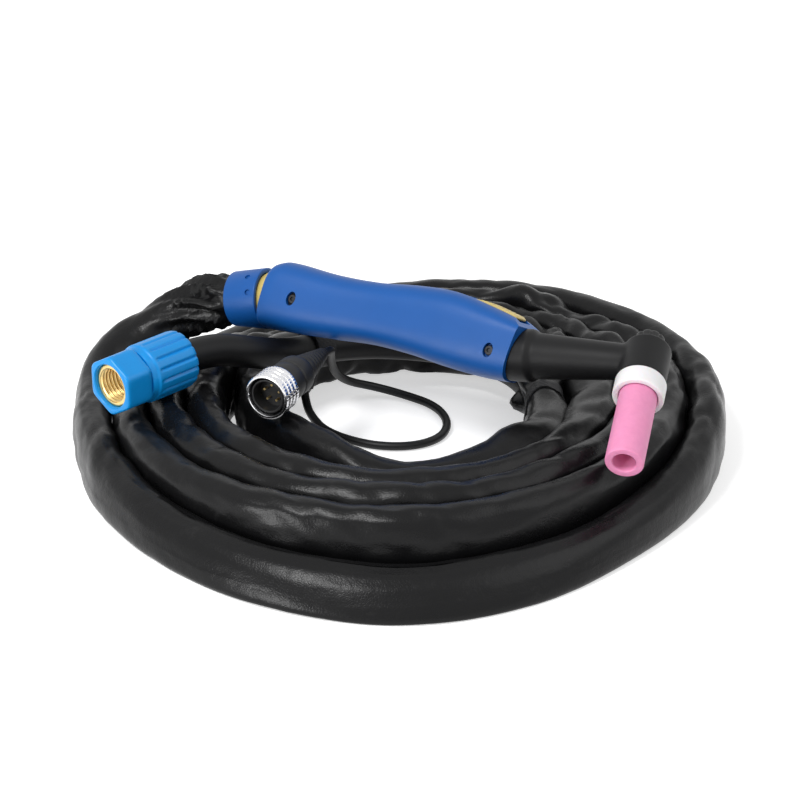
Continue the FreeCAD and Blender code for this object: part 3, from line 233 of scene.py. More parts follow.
# %% Leather
SLEEVE_BLACK = (0.0050, 0.0050, 0.0054)
SLEEVE_SCUFF = (0.022, 0.0215, 0.0215)
PEBBLE = 1.15
PEBBLE_DEPTH = 0.018
PORE = 0.5
PORE_DEPTH = 0.012
DENT = 6.0
DENT_DEPTH = 0.22


def leather_finish():
    finish = Finish("black_leather", specular_ior_level=0.19)
    grain = finish.cells(PEBBLE)
    pores = finish.clouds(PORE, 2.0)
    patches = finish.clouds(24.0, 4.0, 0.6)
    scuff = finish.clouds(7.0, 6.0, 0.7).over(0.55, 0.82) * patches.over(0.4, 0.7)
    finish.colour(finish.mixed(scuff * 0.8, SLEEVE_BLACK, SLEEVE_SCUFF))
    finish.roughness(0.20 + patches * 0.14 + scuff * 0.14 + pores * 0.04)
    finish.bump(grain.over(0.0, 0.22), PEBBLE_DEPTH)
    finish.bump(pores, PORE_DEPTH)
    finish.bump(finish.clouds(DENT, 3.0), DENT_DEPTH)
    return finish.material


FINISHES["sleeve"] = leather_finish()

# %% [markdown]
# ## Moulded plastics and rubbers
#
# A moulded piece keeps the fine grain of its tool. Its colour changes hardly at all, but a little
# dust and rubbed gloss keep it from looking like a computer's flat paint.

# %% Plastics
COLOUR_DRIFT = 0.12
DUST = 0.05


def moulded_finish(name, base, rough, grain, depth, gloss):
    """A plastic or rubber with the grain of its tool, slow drift in colour and some dust."""
    finish = Finish(name, specular_ior_level=gloss)
    slow = finish.clouds(18.0, 3.0)
    speckle = finish.clouds(grain, 2.0, 0.6)
    rubbed = finish.clouds(5.0, 5.0, 0.65)
    dark = tuple(c * (1 - COLOUR_DRIFT) for c in base)
    light = tuple(min(1.0, c * (1 + COLOUR_DRIFT) + DUST * 0.02) for c in base)
    finish.colour(finish.mixed(slow * 0.7 + speckle * 0.3, dark, light))
    finish.roughness(rough + (slow - 0.5) * 0.12 + (rubbed - 0.5) * 0.1 + DUST)
    finish.bump(speckle, depth)
    finish.bump(rubbed, depth * 0.6)
    return finish.material


HANDLE_BLUE = (0.003, 0.087, 0.345)
CONNECTOR_BLUE = (0.001, 0.268, 0.700)
TRIGGER_YELLOW = (0.640, 0.490, 0.150)
MOULDED = (
    ("handle_blue", HANDLE_BLUE, 0.38, 0.5, 0.03, 0.35),
    ("connector_blue", CONNECTOR_BLUE, 0.30, 0.7, 0.02, 0.4),
    ("yellow", TRIGGER_YELLOW, 0.36, 0.5, 0.02, 0.5),
    ("black_plastic", (0.009, 0.009, 0.0095), 0.44, 0.5, 0.03, 0.35),
    ("neck_rubber", (0.007, 0.007, 0.0075), 0.44, 0.35, 0.04, 0.2),
    ("hose_rubber", (0.005, 0.005, 0.0055), 0.42, 0.6, 0.03, 0.2),
    ("wire", (0.008, 0.008, 0.0085), 0.4, 0.5, 0.02, 0.3))
for name, *looks in MOULDED:
    FINISHES[name] = moulded_finish(name, *looks)
print("plastics and rubbers", len(FINISHES))

# %% [markdown]
# ## White gasket and pink ceramic
#
# The gasket is turned from white fluoroplastic, waxy and a little see-through at its edge. The
# nozzle is pressed and fired alumina: matt, with a faint chalky mottle.

# %% Gasket and ceramic


def waxy_finish():
    finish = Finish("white_ptfe", subsurface_weight=0.15, subsurface_scale=0.002)
    rings = finish.clouds(0.9, 3.0)
    finish.colour(finish.mixed(finish.clouds(6.0), (0.80, 0.79, 0.80), (0.90, 0.89, 0.90)))
    finish.roughness(0.34 + rings * 0.1)
    finish.bump(rings, 0.03)
    return finish.material


def ceramic_finish():
    finish = Finish("alumina", subsurface_weight=0.08, subsurface_scale=0.001)
    chalk = finish.clouds(2.4, 5.0, 0.7)
    grit = finish.clouds(0.28, 2.0, 0.7)
    finish.colour(finish.mixed(chalk, (0.74, 0.235, 0.440), (0.90, 0.34, 0.560)))
    finish.roughness(0.44 + chalk * 0.16)
    finish.bump(grit, 0.03)
    finish.bump(chalk, 0.02)
    return finish.material


FINISHES["white_ptfe"] = waxy_finish()
FINISHES["alumina"] = ceramic_finish()

# %% [markdown]
# ## Metals
#
# Chrome plating, turned brass and copper, and zinc-plated steel differ in colour and in how their
# surface was cut. Fine noise in the roughness gives each the marks of handling.

# %% Metals
SCRATCH = 0.3
SCRATCH_DEPTH = 0.012


def metal_finish(name, base, tarnish, rough):
    """A metal whose gloss and colour are dulled in patches."""
    finish = Finish(name, metallic=1.0)
    patches = finish.clouds(4.0, 5.0, 0.65)
    scratches = finish.clouds(SCRATCH, 3.0, 0.7, finish.place((1, 1, 0.2)))
    finish.colour(finish.mixed(patches.over(0.45, 0.8), base, tarnish))
    finish.roughness(rough + patches * rough * 0.8 + scratches * 0.05)
    finish.bump(scratches, SCRATCH_DEPTH)
    return finish.material


METALS = (
    ("steel", (0.045, 0.045, 0.048), (0.02, 0.02, 0.02), 0.34),
    ("chrome", (0.78, 0.78, 0.80), (0.60, 0.60, 0.61), 0.10),
    ("brass", (0.83, 0.62, 0.27), (0.52, 0.36, 0.13), 0.20),
    ("copper", (0.76, 0.40, 0.24), (0.42, 0.20, 0.11), 0.24))
for name, *looks in METALS:
    FINISHES[name] = metal_finish(name, *looks)


def band_finish():
    """Woven tie band: fine crossed ribs."""
    finish = Finish("woven_band", specular_ior_level=0.3)
    waves = []
    for direction, scale, distortion in (("DIAGONAL", 220.0, 1.0), ("Z", 260.0, 0.6)):
        sockets = {"Vector": finish.place(), "Scale": scale, "Distortion": distortion}
        waves.append(finish.node("ShaderNodeTexWave", {"bands_direction": direction}, sockets, "Fac"))
    across, along = waves
    weave = across * along
    finish.colour(finish.mixed(weave, (0.008, 0.008, 0.009), (0.024, 0.024, 0.026)))
    finish.roughness(0.62 + weave * 0.15)
    finish.bump(weave, 0.12)
    return finish.material


FINISHES["band"] = band_finish()
for name, node in frame["nodes"].items():
    node.data.materials.clear()
    node.data.materials.append(FINISHES[NODE_SLOTS[name]])
print("finishes", sorted(FINISHES))

# %% [markdown]
# ## Mesh tools
#
# A few helpers do most of the modelling. A turned piece is an outline that is spun. A ribbed or
# fluted one is a grid that is rolled up, with a function that says where each point of it goes.
# Closed shapes are joined or cut with an exact Boolean.

# %% Spinning, rolling and cutting


def linked(name, data):
    """New object in the scene for a mesh, curve, lamp or camera."""
    made = bpy.data.objects.new(name, data)
    bpy.context.scene.collection.objects.link(made)
    return made


def mesh_of(name, work):
    """New mesh from a bmesh, which is freed."""
    mesh = bpy.data.meshes.new(name)
    work.to_mesh(mesh)
    work.free()
    return mesh


def discard(made):
    """Removes a scratch object and its mesh."""
    mesh = made.data
    bpy.data.objects.remove(made)
    bpy.data.meshes.remove(mesh)


def tidy(work, distance=1e-4):
    bmesh.ops.remove_doubles(work, verts=work.verts, dist=distance)
    bmesh.ops.dissolve_degenerate(work, dist=distance, edges=work.edges)
    bmesh.ops.recalc_face_normals(work, faces=work.faces)
    return work


def spun(outline, segments=96):
    """Turned shape from a closed or axis-to-axis outline of (radius, z)."""
    work = bmesh.new()
    closed = outline[0][0] > 0 or outline[-1][0] > 0
    points = [work.verts.new((r, 0, z)) for r, z in outline]
    pairs = list(zip(points, points[1:]))
    if closed:
        pairs.append((points[-1], points[0]))
    lines = [work.edges.new(pair) for pair in pairs]
    bmesh.ops.spin(work, geom=points + lines, axis=(0, 0, 1), cent=(0, 0, 0),
                   angle=2 * math.pi, steps=segments, use_merge=True, use_duplicate=False)
    return tidy(work)


def rolled(rows, columns, place):
    """Grid whose points go where place(row, column) says, with its seams merged."""
    work = bmesh.new()
    uv = work.loops.layers.uv.new("UVMap")
    bmesh.ops.create_grid(work, x_segments=columns, y_segments=rows, size=0.5, calc_uvs=True)
    for face in work.faces:
        for loop in face.loops:
            loop[uv].uv = (loop.vert.co.x + 0.5, loop.vert.co.y + 0.5)
    for vert in work.verts:
        column = round((vert.co.x + 0.5) * columns)
        row = round((vert.co.y + 0.5) * rows)
        vert.co = place(row, column)
    return tidy(work)


def soften(work, width, segments=3, angle=28.0):
    """Rounds every edge whose faces meet at more than angle degrees."""
    work.normal_update()
    sharp = [e for e in work.edges if e.is_manifold and e.calc_face_angle(0) > math.radians(angle)]
    bmesh.ops.bevel(work, geom=sharp, offset=width, offset_type="OFFSET", segments=segments,
                    profile=0.5, affect="EDGES", clamp_overlap=True, material=-1)
    return work


def moved(work, matrix):
    bmesh.ops.transform(work, matrix=matrix, verts=work.verts)
    return work


def block(low, high):
    work = bmesh.new()
    bmesh.ops.create_cube(work, size=1.0)
    size = Vector(high) - Vector(low)
    middle = (Vector(high) + Vector(low)) / 2
    return moved(work, Matrix.Translation(middle) @ Matrix.Diagonal((*size, 1)))


def rod(radius, start, end, segments=48):
    return spun([(0, start), (radius, start), (radius, end), (0, end)], segments)


def prism(outline, half):
    """Side view in x and z, extruded across from -half to half."""
    work = bmesh.new()
    face = work.faces.new([work.verts.new((x, -half, z)) for x, z in outline])
    made = bmesh.ops.extrude_face_region(work, geom=[face])
    top = [g for g in made["geom"] if isinstance(g, bmesh.types.BMVert)]
    bmesh.ops.translate(work, vec=(0, 2 * half, 0), verts=top)
    bmesh.ops.recalc_face_normals(work, faces=work.faces)
    return work


def sphere(radius, segments=64):
    work = bmesh.new()
    bmesh.ops.create_uvsphere(work, u_segments=segments, v_segments=segments // 2, radius=radius)
    return work


def scratch_object(work):
    return linked("scratch", mesh_of("scratch", work))


def evaluated(made):
    """The object's mesh with its modifiers applied, as a bmesh; the object is removed."""
    work = bmesh.new()
    work.from_object(made, bpy.context.evaluated_depsgraph_get())
    discard(made)
    return work


def cut(work, cutters, operation="DIFFERENCE"):
    """Exact Boolean of a closed shape with each of the cutters in turn."""
    made = scratch_object(work)
    tools = [scratch_object(cutter) for cutter in cutters]
    for tool in tools:
        step = made.modifiers.new("cut", "BOOLEAN")
        step.operation = operation
        step.solver = "EXACT"
        step.object = tool
    result = evaluated(made)
    for tool in tools:
        discard(tool)
    return tidy(result)


def joined(shapes):
    """Several closed shapes in one bmesh, as they are."""
    work = bmesh.new()
    for shape in shapes:
        mesh = mesh_of("part", shape)
        work.from_mesh(mesh)
        bpy.data.meshes.remove(mesh)
    return work


def round_grid(rows, columns, radius_at):
    """Rolled grid round Z. A row starts with its radius and z, and radius_at(row, angle) varies it."""
    def place(row, column):
        angle = 2 * math.pi * (column % columns) / columns
        radius = radius_at(rows[row], angle)
        return Vector((radius * math.cos(angle), radius * math.sin(angle), rows[row][1]))
    return rolled(len(rows) - 1, columns, place)


def piece(name, work, body, slot, *nodes, sharp=35.0):
    """An object from a bmesh in millimetres, which rides on a body and stands for CAD nodes."""
    mesh = mesh_of(name, moved(work, Matrix.Scale(MM, 4)))
    mesh.shade_smooth()
    mesh.set_sharp_from_angle(angle=math.radians(sharp))
    mesh.materials.append(FINISHES[slot])
    made = linked(name, mesh)
    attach(made, body)
    if nodes:
        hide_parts(*nodes)
    print(name, len(mesh.polygons), "faces")
    return made


# %% [markdown]
# ## Route of the sleeve
#
# The sleeve leaves the collar, sinks to the floor and goes round the coil's middle four and a half
# times. The turns are loose: they lean apart in front, and crowd at the back. So each turn gets its
# own distance from the middle and its own height at eight places round the coil, and a smooth curve
# joins them. The route is the control points of one NURBS spline.

# %% Coil shape
COIL_RADII = (
    134.0, 129.0, 134.0, 120.5, 129.5, 135.0, 132.5, 124.0,
    119.5, 114.0, 113.5, 107.5, 112.5, 119.5, 118.5, 110.0,
    103.0, 98.5, 96.0, 93.0, 98.0, 106.0, 106.0, 97.0,
    88.0, 84.0, 82.0, 79.0, 84.0, 93.0, 95.0, 84.5,
    62.0, 55.0, 59.0, 59.0, 66.0)
COIL_HEIGHTS = (
    25.5, 19.0, 16.5, 18.5, 29.5, 30.0, 25.5, 17.0,
    29.0, 32.0, 33.0, 33.0, 32.0, 29.0, 27.0, 21.0,
    32.0, 33.0, 33.5, 33.0, 32.0, 28.0, 27.0, 25.0,
    33.0, 33.0, 33.0, 33.0, 31.0, 28.0, 26.0, 27.0,
    30.0, 31.0, 24.0, 30.0, 29.0)
CRUMPLE = (0.45, 0.3, 0.22, 0.28, 0.55, 1.0, 0.95, 0.65)
LEANS = (0.5, 3.0, 6.5, 2.0, 0.0, 0.0, 0.0, 0.0)
EIGHTH = 45.0
COIL_START_ANGLE = 180.0
COIL_MIDDLE = 16.25
ROUTE_STEP = 22.5
LEAD_ROUTE = (
    (-72.74, 54.71, 50.85), (-87.09, 61.21, 48.06), (-102.0, 64.5, 40.0), (-115.5, 62.5, 31.0),
    (-127.0, 57.0, 26.5), (-134.5, 48.0, 22.0), (-137.0, 37.0, 18.3), (-137.5, 25.0, 16.5),
    (-136.5, 13.0, COIL_MIDDLE))
SLEEVE_END = (60.0, 14.6, COIL_MIDDLE)


def curved(values, at):
    """Catmull-Rom curve through evenly spaced values."""
    last = len(values) - 1
    at = min(max(at, 0.0), last)
    i = min(int(at), last - 1)
    t = at - i
    a, b, c, d = [values[min(max(i + k, 0), last)] for k in (-1, 0, 1, 2)]
    return b + 0.5 * t * (c - a + t * (2 * a - 5 * b + 4 * c - d + t * (3 * (b - c) + d - a)))


def turn_radius(angle):
    return curved(COIL_RADII, (angle - COIL_START_ANGLE) / EIGHTH)


def sleeve_route():
    """Control points from the collar to the inner end."""
    points = [Vector(p) for p in LEAD_ROUTE]
    last = COIL_START_ANGLE + EIGHTH * (len(COIL_RADII) - 1)
    angle = COIL_START_ANGLE
    spread = 1 / math.cos(math.radians(ROUTE_STEP / 2))
    while angle < last - 1:
        points.append(heading(angle) * turn_radius(angle) * spread + UP * COIL_MIDDLE)
        angle += ROUTE_STEP
    points.append(Vector(SLEEVE_END))
    return points


def spline_curve(name, points, radius=0.0):
    """Curve object of one NURBS spline with these control points, in metres."""
    data = bpy.data.curves.new(name, "CURVE")
    data.dimensions = "3D"
    data.resolution_u = 10
    data.bevel_depth = radius * MM
    data.bevel_resolution = 7
    data.use_fill_caps = radius > 0
    spline = data.splines.new("NURBS")
    spline.points.add(len(points) - 1)
    for target, point in zip(spline.points, points):
        target.co = (*(Vector(point) * MM), 1.0)
    spline.order_u = 3
    spline.use_endpoint_u = True
    return linked(name, data)


def line_of(points):
    """Points along the NURBS spline of these control points, in millimetres."""
    made = spline_curve("route", points)
    mesh = bpy.data.meshes.new_from_object(made)
    line = [v.co / MM for v in mesh.vertices]
    data = made.data
    bpy.data.objects.remove(made)
    bpy.data.curves.remove(data)
    bpy.data.meshes.remove(mesh)
    return line


def even_steps(line, step):
    """Points at equal steps along a line, with the length at each."""
    steps = [0.0]
    for a, b in zip(line, line[1:]):
        steps.append(steps[-1] + (b - a).length)
    count = int(steps[-1] / step)
    made = []
    i = 0
    for k in range(count + 1):
        at = steps[-1] * k / count
        while i < len(line) - 2 and steps[i + 1] < at:
            i += 1
        share = (at - steps[i]) / max(steps[i + 1] - steps[i], 1e-9)
        made.append(line[i].lerp(line[i + 1], share))
    return made, steps[-1]


SLEEVE_STEP = 2.0
sleeve_line, sleeve_length = even_steps(line_of(sleeve_route()), SLEEVE_STEP)
print("sleeve", round(sleeve_length), "mm long, stations", len(sleeve_line))

# %% [markdown]
# ## Section of the sleeve
#
# The sleeve stands on its edge. Its section is a soft upright bar, about 15 mm by 33 mm. The grid's
# columns are spaced evenly along that outline, so that the faces keep one size all round.

# %% Sleeve section
SLEEVE_COLUMNS = 56
SLEEVE_HALF = 7.6
CROWN_SQUARENESS = 2.9
FOOT_SQUARENESS = 4.5


def smooth(value, start, end):
    t = min(max((value - start) / (end - start), 0.0), 1.0)
    return t * t * (3 - 2 * t)


def hump(value, rise, top, ebb, end):
    """0 before rise and after end, 1 from top to ebb, and smooth between them."""
    return smooth(value, rise, top) * (1 - smooth(value, ebb, end))


def equal_parts(count, shape, samples=720):
    """Angles that part a closed outline into pieces of equal length, from its lowest point."""
    angles = [-math.pi / 2 + 2 * math.pi * i / samples for i in range(samples + 1)]
    points = [Vector(shape(a)) for a in angles]
    steps = [0.0]
    for a, b in zip(points, points[1:]):
        steps.append(steps[-1] + (b - a).length)
    found = []
    i = 0
    for k in range(count):
        while steps[i + 1] < steps[-1] * k / count:
            i += 1
        found.append(angles[i])
    return found


def upright(angle):
    """Rounded upright bar from -1 to 1: tighter corners at the floor than at the crown."""
    x, y = math.cos(angle), math.sin(angle)
    power = 2 / (CROWN_SQUARENESS if y > 0 else FOOT_SQUARENESS)
    return (math.copysign(abs(x) ** power, x), math.copysign(abs(y) ** power, y))


def upright_size(angle):
    x, y = upright(angle)
    return (x * SLEEVE_HALF, y * COIL_MIDDLE)


SECTION_ANGLES = equal_parts(SLEEVE_COLUMNS, upright_size)


# %% [markdown]
# ## Folds of the leather
#
# Folds come from noise along and round the sleeve. The absolute value of noise makes rounded bulges
# between sharp creases, as leather does. Two slanting sets cross where the leather is crumpled, and
# fine pleats run along it where it is taut.

# %% Folds
WARP = 7
WARP_SIZE = 31
SLANTED_FOLD = 7.2
CROSSING_FOLD = 5.0
FINE_FOLD = 1.1
TAUT_PLEAT = 0.6
TAUT_GRAIN = 0.12
BROAD_WAVE = 0.9


def ridges(s, a, long, across, seed):
    """Rounded bulges with sharp creases between them, of a length and a width in millimetres."""
    return abs(noise.noise(Vector((s / long, a / across, seed))))


def folds(s, a, crumple):
    """Height of the leather's folds at a length s and a girth a."""
    warp = WARP * noise.noise(Vector((s / WARP_SIZE, a / WARP_SIZE, 11.0)))
    slanted = ridges(s + 0.9 * a + warp, a + warp, long=21, across=40, seed=0.0)
    crossing = ridges(s - 1.2 * a - warp, a, long=27, across=33, seed=4.0)
    fine = ridges(s - 0.35 * a, a, long=8.5, across=12, seed=7.0)
    pleats = ridges(s, a + 0.5 * warp, long=85, across=4.6, seed=9.0)
    broad = noise.noise(Vector((s / 44, a / 52, 15.0)))
    loose = SLANTED_FOLD * slanted + CROSSING_FOLD * crossing + FINE_FOLD * fine
    taut = TAUT_PLEAT * pleats + TAUT_GRAIN * fine
    return crumple * loose + (1 - crumple) * taut + BROAD_WAVE * broad


# %% [markdown]
# ## Stations along the sleeve
#
# The section changes on its way: it is round in the collar, flat and taut round the front, crumpled
# at the rear, and it gives way where the next turn presses on it. A station holds what is so at one
# place. Places round the coil are counted in eighths of a turn, so 8 is the end of the first turn.

# %% Stations
LEAD_CRUMPLE = 0.3
ROUND_UNTIL = 30.0
FLAT_FROM = 118.0
HELD_UNTIL = 3.6
HELD_FADE = 7.0
PLEAT_DEPTH = 2.2
PLEAT_FULL = 12.0
PLEAT_FADE = 56.0
FIRST_TURN_ENDS = (7.4, 8.0)
TAUT_FRONT = (0.3, 1.0, 3.1, 4.0)
CALM_REAR = (4.2, 5.5, 7.0, 8.0)
EVEN_CROWN = (3.8, 4.8, *FIRST_TURN_ENDS)
LAPPED = (27.1, 27.8, 28.7, 29.4)
SWAY_LENGTH = 38.0
SWAY_HEIGHT = 4.5
OPEN_ROOM = 20.0
INNER_ROOM = 14.0
BULGE = 6.0
BULGE_ALONG = (8.0, 26.0, 55.0, 110.0)
END_GATHER = 20.0


class Station:
    """What the sleeve's section is like at one place along it."""

    def __init__(self, i, before):
        last = len(sleeve_line) - 1
        self.at = sleeve_line[i]
        self.along = (sleeve_line[min(i + 1, last)] - sleeve_line[max(i - 1, 0)]).normalized()
        self.out = self.along.cross(UP).normalized()
        self.up = self.out.cross(self.along)
        turned = math.degrees(math.atan2(self.at.y, self.at.x)) % 360
        self.angle = turned + 360 * round((before - turned) / 360)
        eighths = (self.angle - COIL_START_ANGLE) / EIGHTH
        self.outer = 1 - smooth(eighths, *FIRST_TURN_ENDS)
        self.crown = hump(eighths, *EVEN_CROWN)
        self.lap = hump(eighths, *LAPPED)
        taut = 0.75 * hump(eighths, *TAUT_FRONT) + 0.45 * hump(eighths, *CALM_REAR)
        loose = curved(CRUMPLE + CRUMPLE[:1], eighths % 8) if eighths >= 0 else LEAD_CRUMPLE
        self.crumple = loose * (1 - taut)
        self.sway = noise.noise(Vector((i * SLEEVE_STEP / SWAY_LENGTH, 0, 21)))
        self.lean = curved(LEANS + LEANS[:1], eighths) if 0 <= eighths <= 8 else 0.0
        self.height = curved(COIL_HEIGHTS, eighths)
        self.height += SWAY_HEIGHT * self.sway * self.crumple * smooth(eighths, 7.5, 8.5)
        self.s = sleeve_length * i / last
        self.bulge = BULGE * hump(sleeve_length - self.s, *BULGE_ALONG)
        self.room_out = self.room(eighths - 8) + self.bulge * 0.3 if eighths >= 8 else OPEN_ROOM
        self.room_in = self.room(eighths) if 0 <= eighths <= len(COIL_RADII) - 9 else INNER_ROOM
        self.flat = smooth(self.s, ROUND_UNTIL, FLAT_FROM)
        self.gather = smooth(self.s, sleeve_length - END_GATHER, sleeve_length)
        self.held = 1 - smooth(self.s, HELD_UNTIL, HELD_UNTIL + HELD_FADE)
        self.pleats = PLEAT_DEPTH * (1 - self.held) * (1 - smooth(self.s, PLEAT_FULL, PLEAT_FADE))

    @staticmethod
    def room(eighths):
        """Half of the way from this turn's middle to the next one inside it, less a little gap."""
        return (curved(COIL_RADII, eighths) - curved(COIL_RADII, eighths + 8)) / 2 - 0.15


def sleeve_stations():
    made = []
    angle = COIL_START_ANGLE - 40
    for i in range(len(sleeve_line)):
        made.append(Station(i, angle))
        angle = made[-1].angle
    return made


stations = sleeve_stations()


# %% [markdown]
# ## Skin of the sleeve
#
# On the coil the skin is the upright bar, with a belly, a lap along its crown and a line of
# stitches. By the collar it is a round bundle with twisted pleats. At the inner end it is gathered
# round both cables and flares to a frill. One grid passes from each form to the next.

# %% Upright section
SLEEVE_GIRTH = 88.0
SINK = 1.5
BELLY_OUT = 1.0
BELLY_IN = 0.4
FOOT_TUCK = 0.14
LEAN_IN = 0.4
SWAY = 3.0
LAP = 7.0
EVEN_CROWN_SHARE = 0.6
TAUT_WALL_SHARE = 0.55
CROWN_FROM = 0.9
FLAP_AT = 0.5
FLAP_EDGE = 0.12
FLAP_STEP = 0.9
STITCH_AT = 0.78
STITCH_WIDTH = 0.1
STITCH_DEPTH = 0.7
FLOOR_CLEAR = 0.25


def flat_point(station, column, lift):
    """Point of the upright section, with lift outwards, before it is placed."""
    x, y = upright(SECTION_ANGLES[column])
    outside = x > 0
    half_height = (station.height + 0.6) / 2
    half = min(SLEEVE_HALF, station.room_out if outside else station.room_in) - SINK * station.crumple
    belly = (BELLY_OUT if outside else BELLY_IN) * (1 - y * y)
    fullness = station.bulge if outside else LAP * station.lap
    tuck = 1 - FOOT_TUCK * max(0.0, -y) ** 2 * (1 - min(station.lean, 1))
    lift *= 1 - EVEN_CROWN_SHARE * station.crown * smooth(y, 0.1, 0.9)
    lift *= 1 - TAUT_WALL_SHARE * station.outer * smooth(x, 0.3, 0.9)
    if y > CROWN_FROM:
        lift -= FLAP_STEP * smooth(x, FLAP_AT, FLAP_AT + FLAP_EDGE)
        lift -= STITCH_DEPTH * max(0.0, 1 - abs(x - STITCH_AT) / STITCH_WIDTH)
    normal = Vector((x * abs(x) / half, y * abs(y) / half_height * 2.0))
    normal.normalize()
    px = x * (half + belly + fullness) * tuck + normal.x * lift
    px -= station.lean * y * (1.0 if outside else LEAN_IN)
    px += SWAY * station.sway * station.crumple * max(y, 0.0)
    px = min(max(px, -station.room_in - 5 * station.lap), station.room_out)
    return px, half_height - COIL_MIDDLE + y * half_height + normal.y * lift


# %% Round bundle and mouth
LEAD_ROUND = 10.4
HELD_ROUND = 9.7
PLEATS = 9
PLEAT_TWIST = 26.0
MOUTH_HALF = 8.9
MOUTH_HEIGHT = 12.2
MOUTH_RISE = 2.6
MOUTH_PLEATS = 7
FRILL_WAVES = 5
FRILL = (
    (2.0, 0.15), (5.0, 0.6), (8.0, 0.95), (11.0, 1.1),
    (12.5, 1.0), (12.0, 0.75), (8.0, 0.3), (3.0, -0.2))


def round_point(station, column, lift):
    """Point of the round bundle with its twisted pleats, held smooth inside the collar."""
    angle = SECTION_ANGLES[column]
    twist = PLEATS * (angle + station.s / PLEAT_TWIST)
    loose = LEAD_ROUND + station.pleats * math.cos(twist) + lift * 0.6
    radius = loose + (HELD_ROUND - loose) * station.held
    return radius * math.cos(angle), radius * math.sin(angle)


def end_point(column, flare=0.0):
    """Point of the gathered mouth round both cables, which can flare to a frill."""
    angle = SECTION_ANGLES[column]
    ruffle = (0.7 + 1.8 * flare) * math.cos(MOUTH_PLEATS * angle + 0.8 * flare) + 4.2 * flare
    y = MOUTH_RISE + (MOUTH_HEIGHT + ruffle * 0.8) * math.sin(angle)
    return (MOUTH_HALF + ruffle) * math.cos(angle), y


# %% Sleeve


def sleeve_point(row, column):
    """Point on the sleeve: round at the collar, flat on the coil, and gathered at its inner end."""
    station = stations[row]
    column = column % SLEEVE_COLUMNS
    lift = folds(station.s, column * SLEEVE_GIRTH / SLEEVE_COLUMNS, station.crumple)
    fx, fy = flat_point(station, column, lift)
    rx, ry = round_point(station, column, lift)
    ex, ey = end_point(column)
    x = rx + (fx - rx) * station.flat
    y = ry + (fy - ry) * station.flat
    x += (ex - x) * station.gather
    y += (ey - y) * station.gather
    point = station.at + station.out * x + station.up * y
    point.z = max(point.z, FLOOR_CLEAR)
    return point


def frill_point(row, column):
    """Point of the frill past the mouth: out to its edge, and back inside it."""
    reach, flare = FRILL[row]
    end = stations[-1]
    x, y = end_point(column % SLEEVE_COLUMNS, flare)
    reach += 1.6 * flare * math.sin(FRILL_WAVES * SECTION_ANGLES[column % SLEEVE_COLUMNS])
    point = end.at + end.along * reach + end.out * x + end.up * y
    point.z = max(point.z, FLOOR_CLEAR)
    return point


def sleeve_and_frill(row, column):
    if row < len(stations):
        return sleeve_point(row, column)
    return frill_point(row - len(stations), column)


def make_sleeve():
    work = rolled(len(stations) + len(FRILL) - 1, SLEEVE_COLUMNS, sleeve_and_frill)
    open_edges = [e for e in work.edges if e.is_boundary]
    bmesh.ops.holes_fill(work, edges=open_edges, sides=0)
    return piece("leather_sleeve", tidy(work), "cable_set", "sleeve",
                 "cable_sleeve_coil", "cable_sleeve_lead", sharp=60)


sleeve = make_sleeve()

# %% [markdown]
# ## Tie round the sleeve's inner end
#
# A narrow woven tape holds the leather round both cables. It follows the sleeve's own section, a
# little proud of it, so its own section is rolled along that line.

# %% Tie
TIE_WIDTH = 8.0
TIE_THICK = 1.1
TIE_BACK = 9.0
TIE_ROUND = 16


def tie_point(row, column):
    """Goes round the tape's own section with the rows, and round the sleeve with the columns."""
    turn = 2 * math.pi * row / TIE_ROUND
    along = TIE_WIDTH / 2 * math.copysign(abs(math.cos(turn)) ** 0.4, math.cos(turn))
    proud = TIE_THICK * (0.5 + 0.5 * math.sin(turn)) - 0.3
    per_mm = (len(stations) - 1) / sleeve_length
    station = stations[round((sleeve_length - TIE_BACK) * per_mm)]
    row_at = round((sleeve_length - TIE_BACK + along) * per_mm)
    base = sleeve_point(row_at, column)
    outward = base - stations[row_at].at
    outward -= station.along * outward.dot(station.along)
    made = base + outward.normalized() * proud
    made.z = max(made.z, FLOOR_CLEAR)
    return made


tie = piece("sleeve_end_tie", rolled(TIE_ROUND, SLEEVE_COLUMNS, tie_point), "cable_set", "band",
            "sleeve_end_band")
sleeve_length * MM
[tuple(p * MM) for p in sleeve_line]
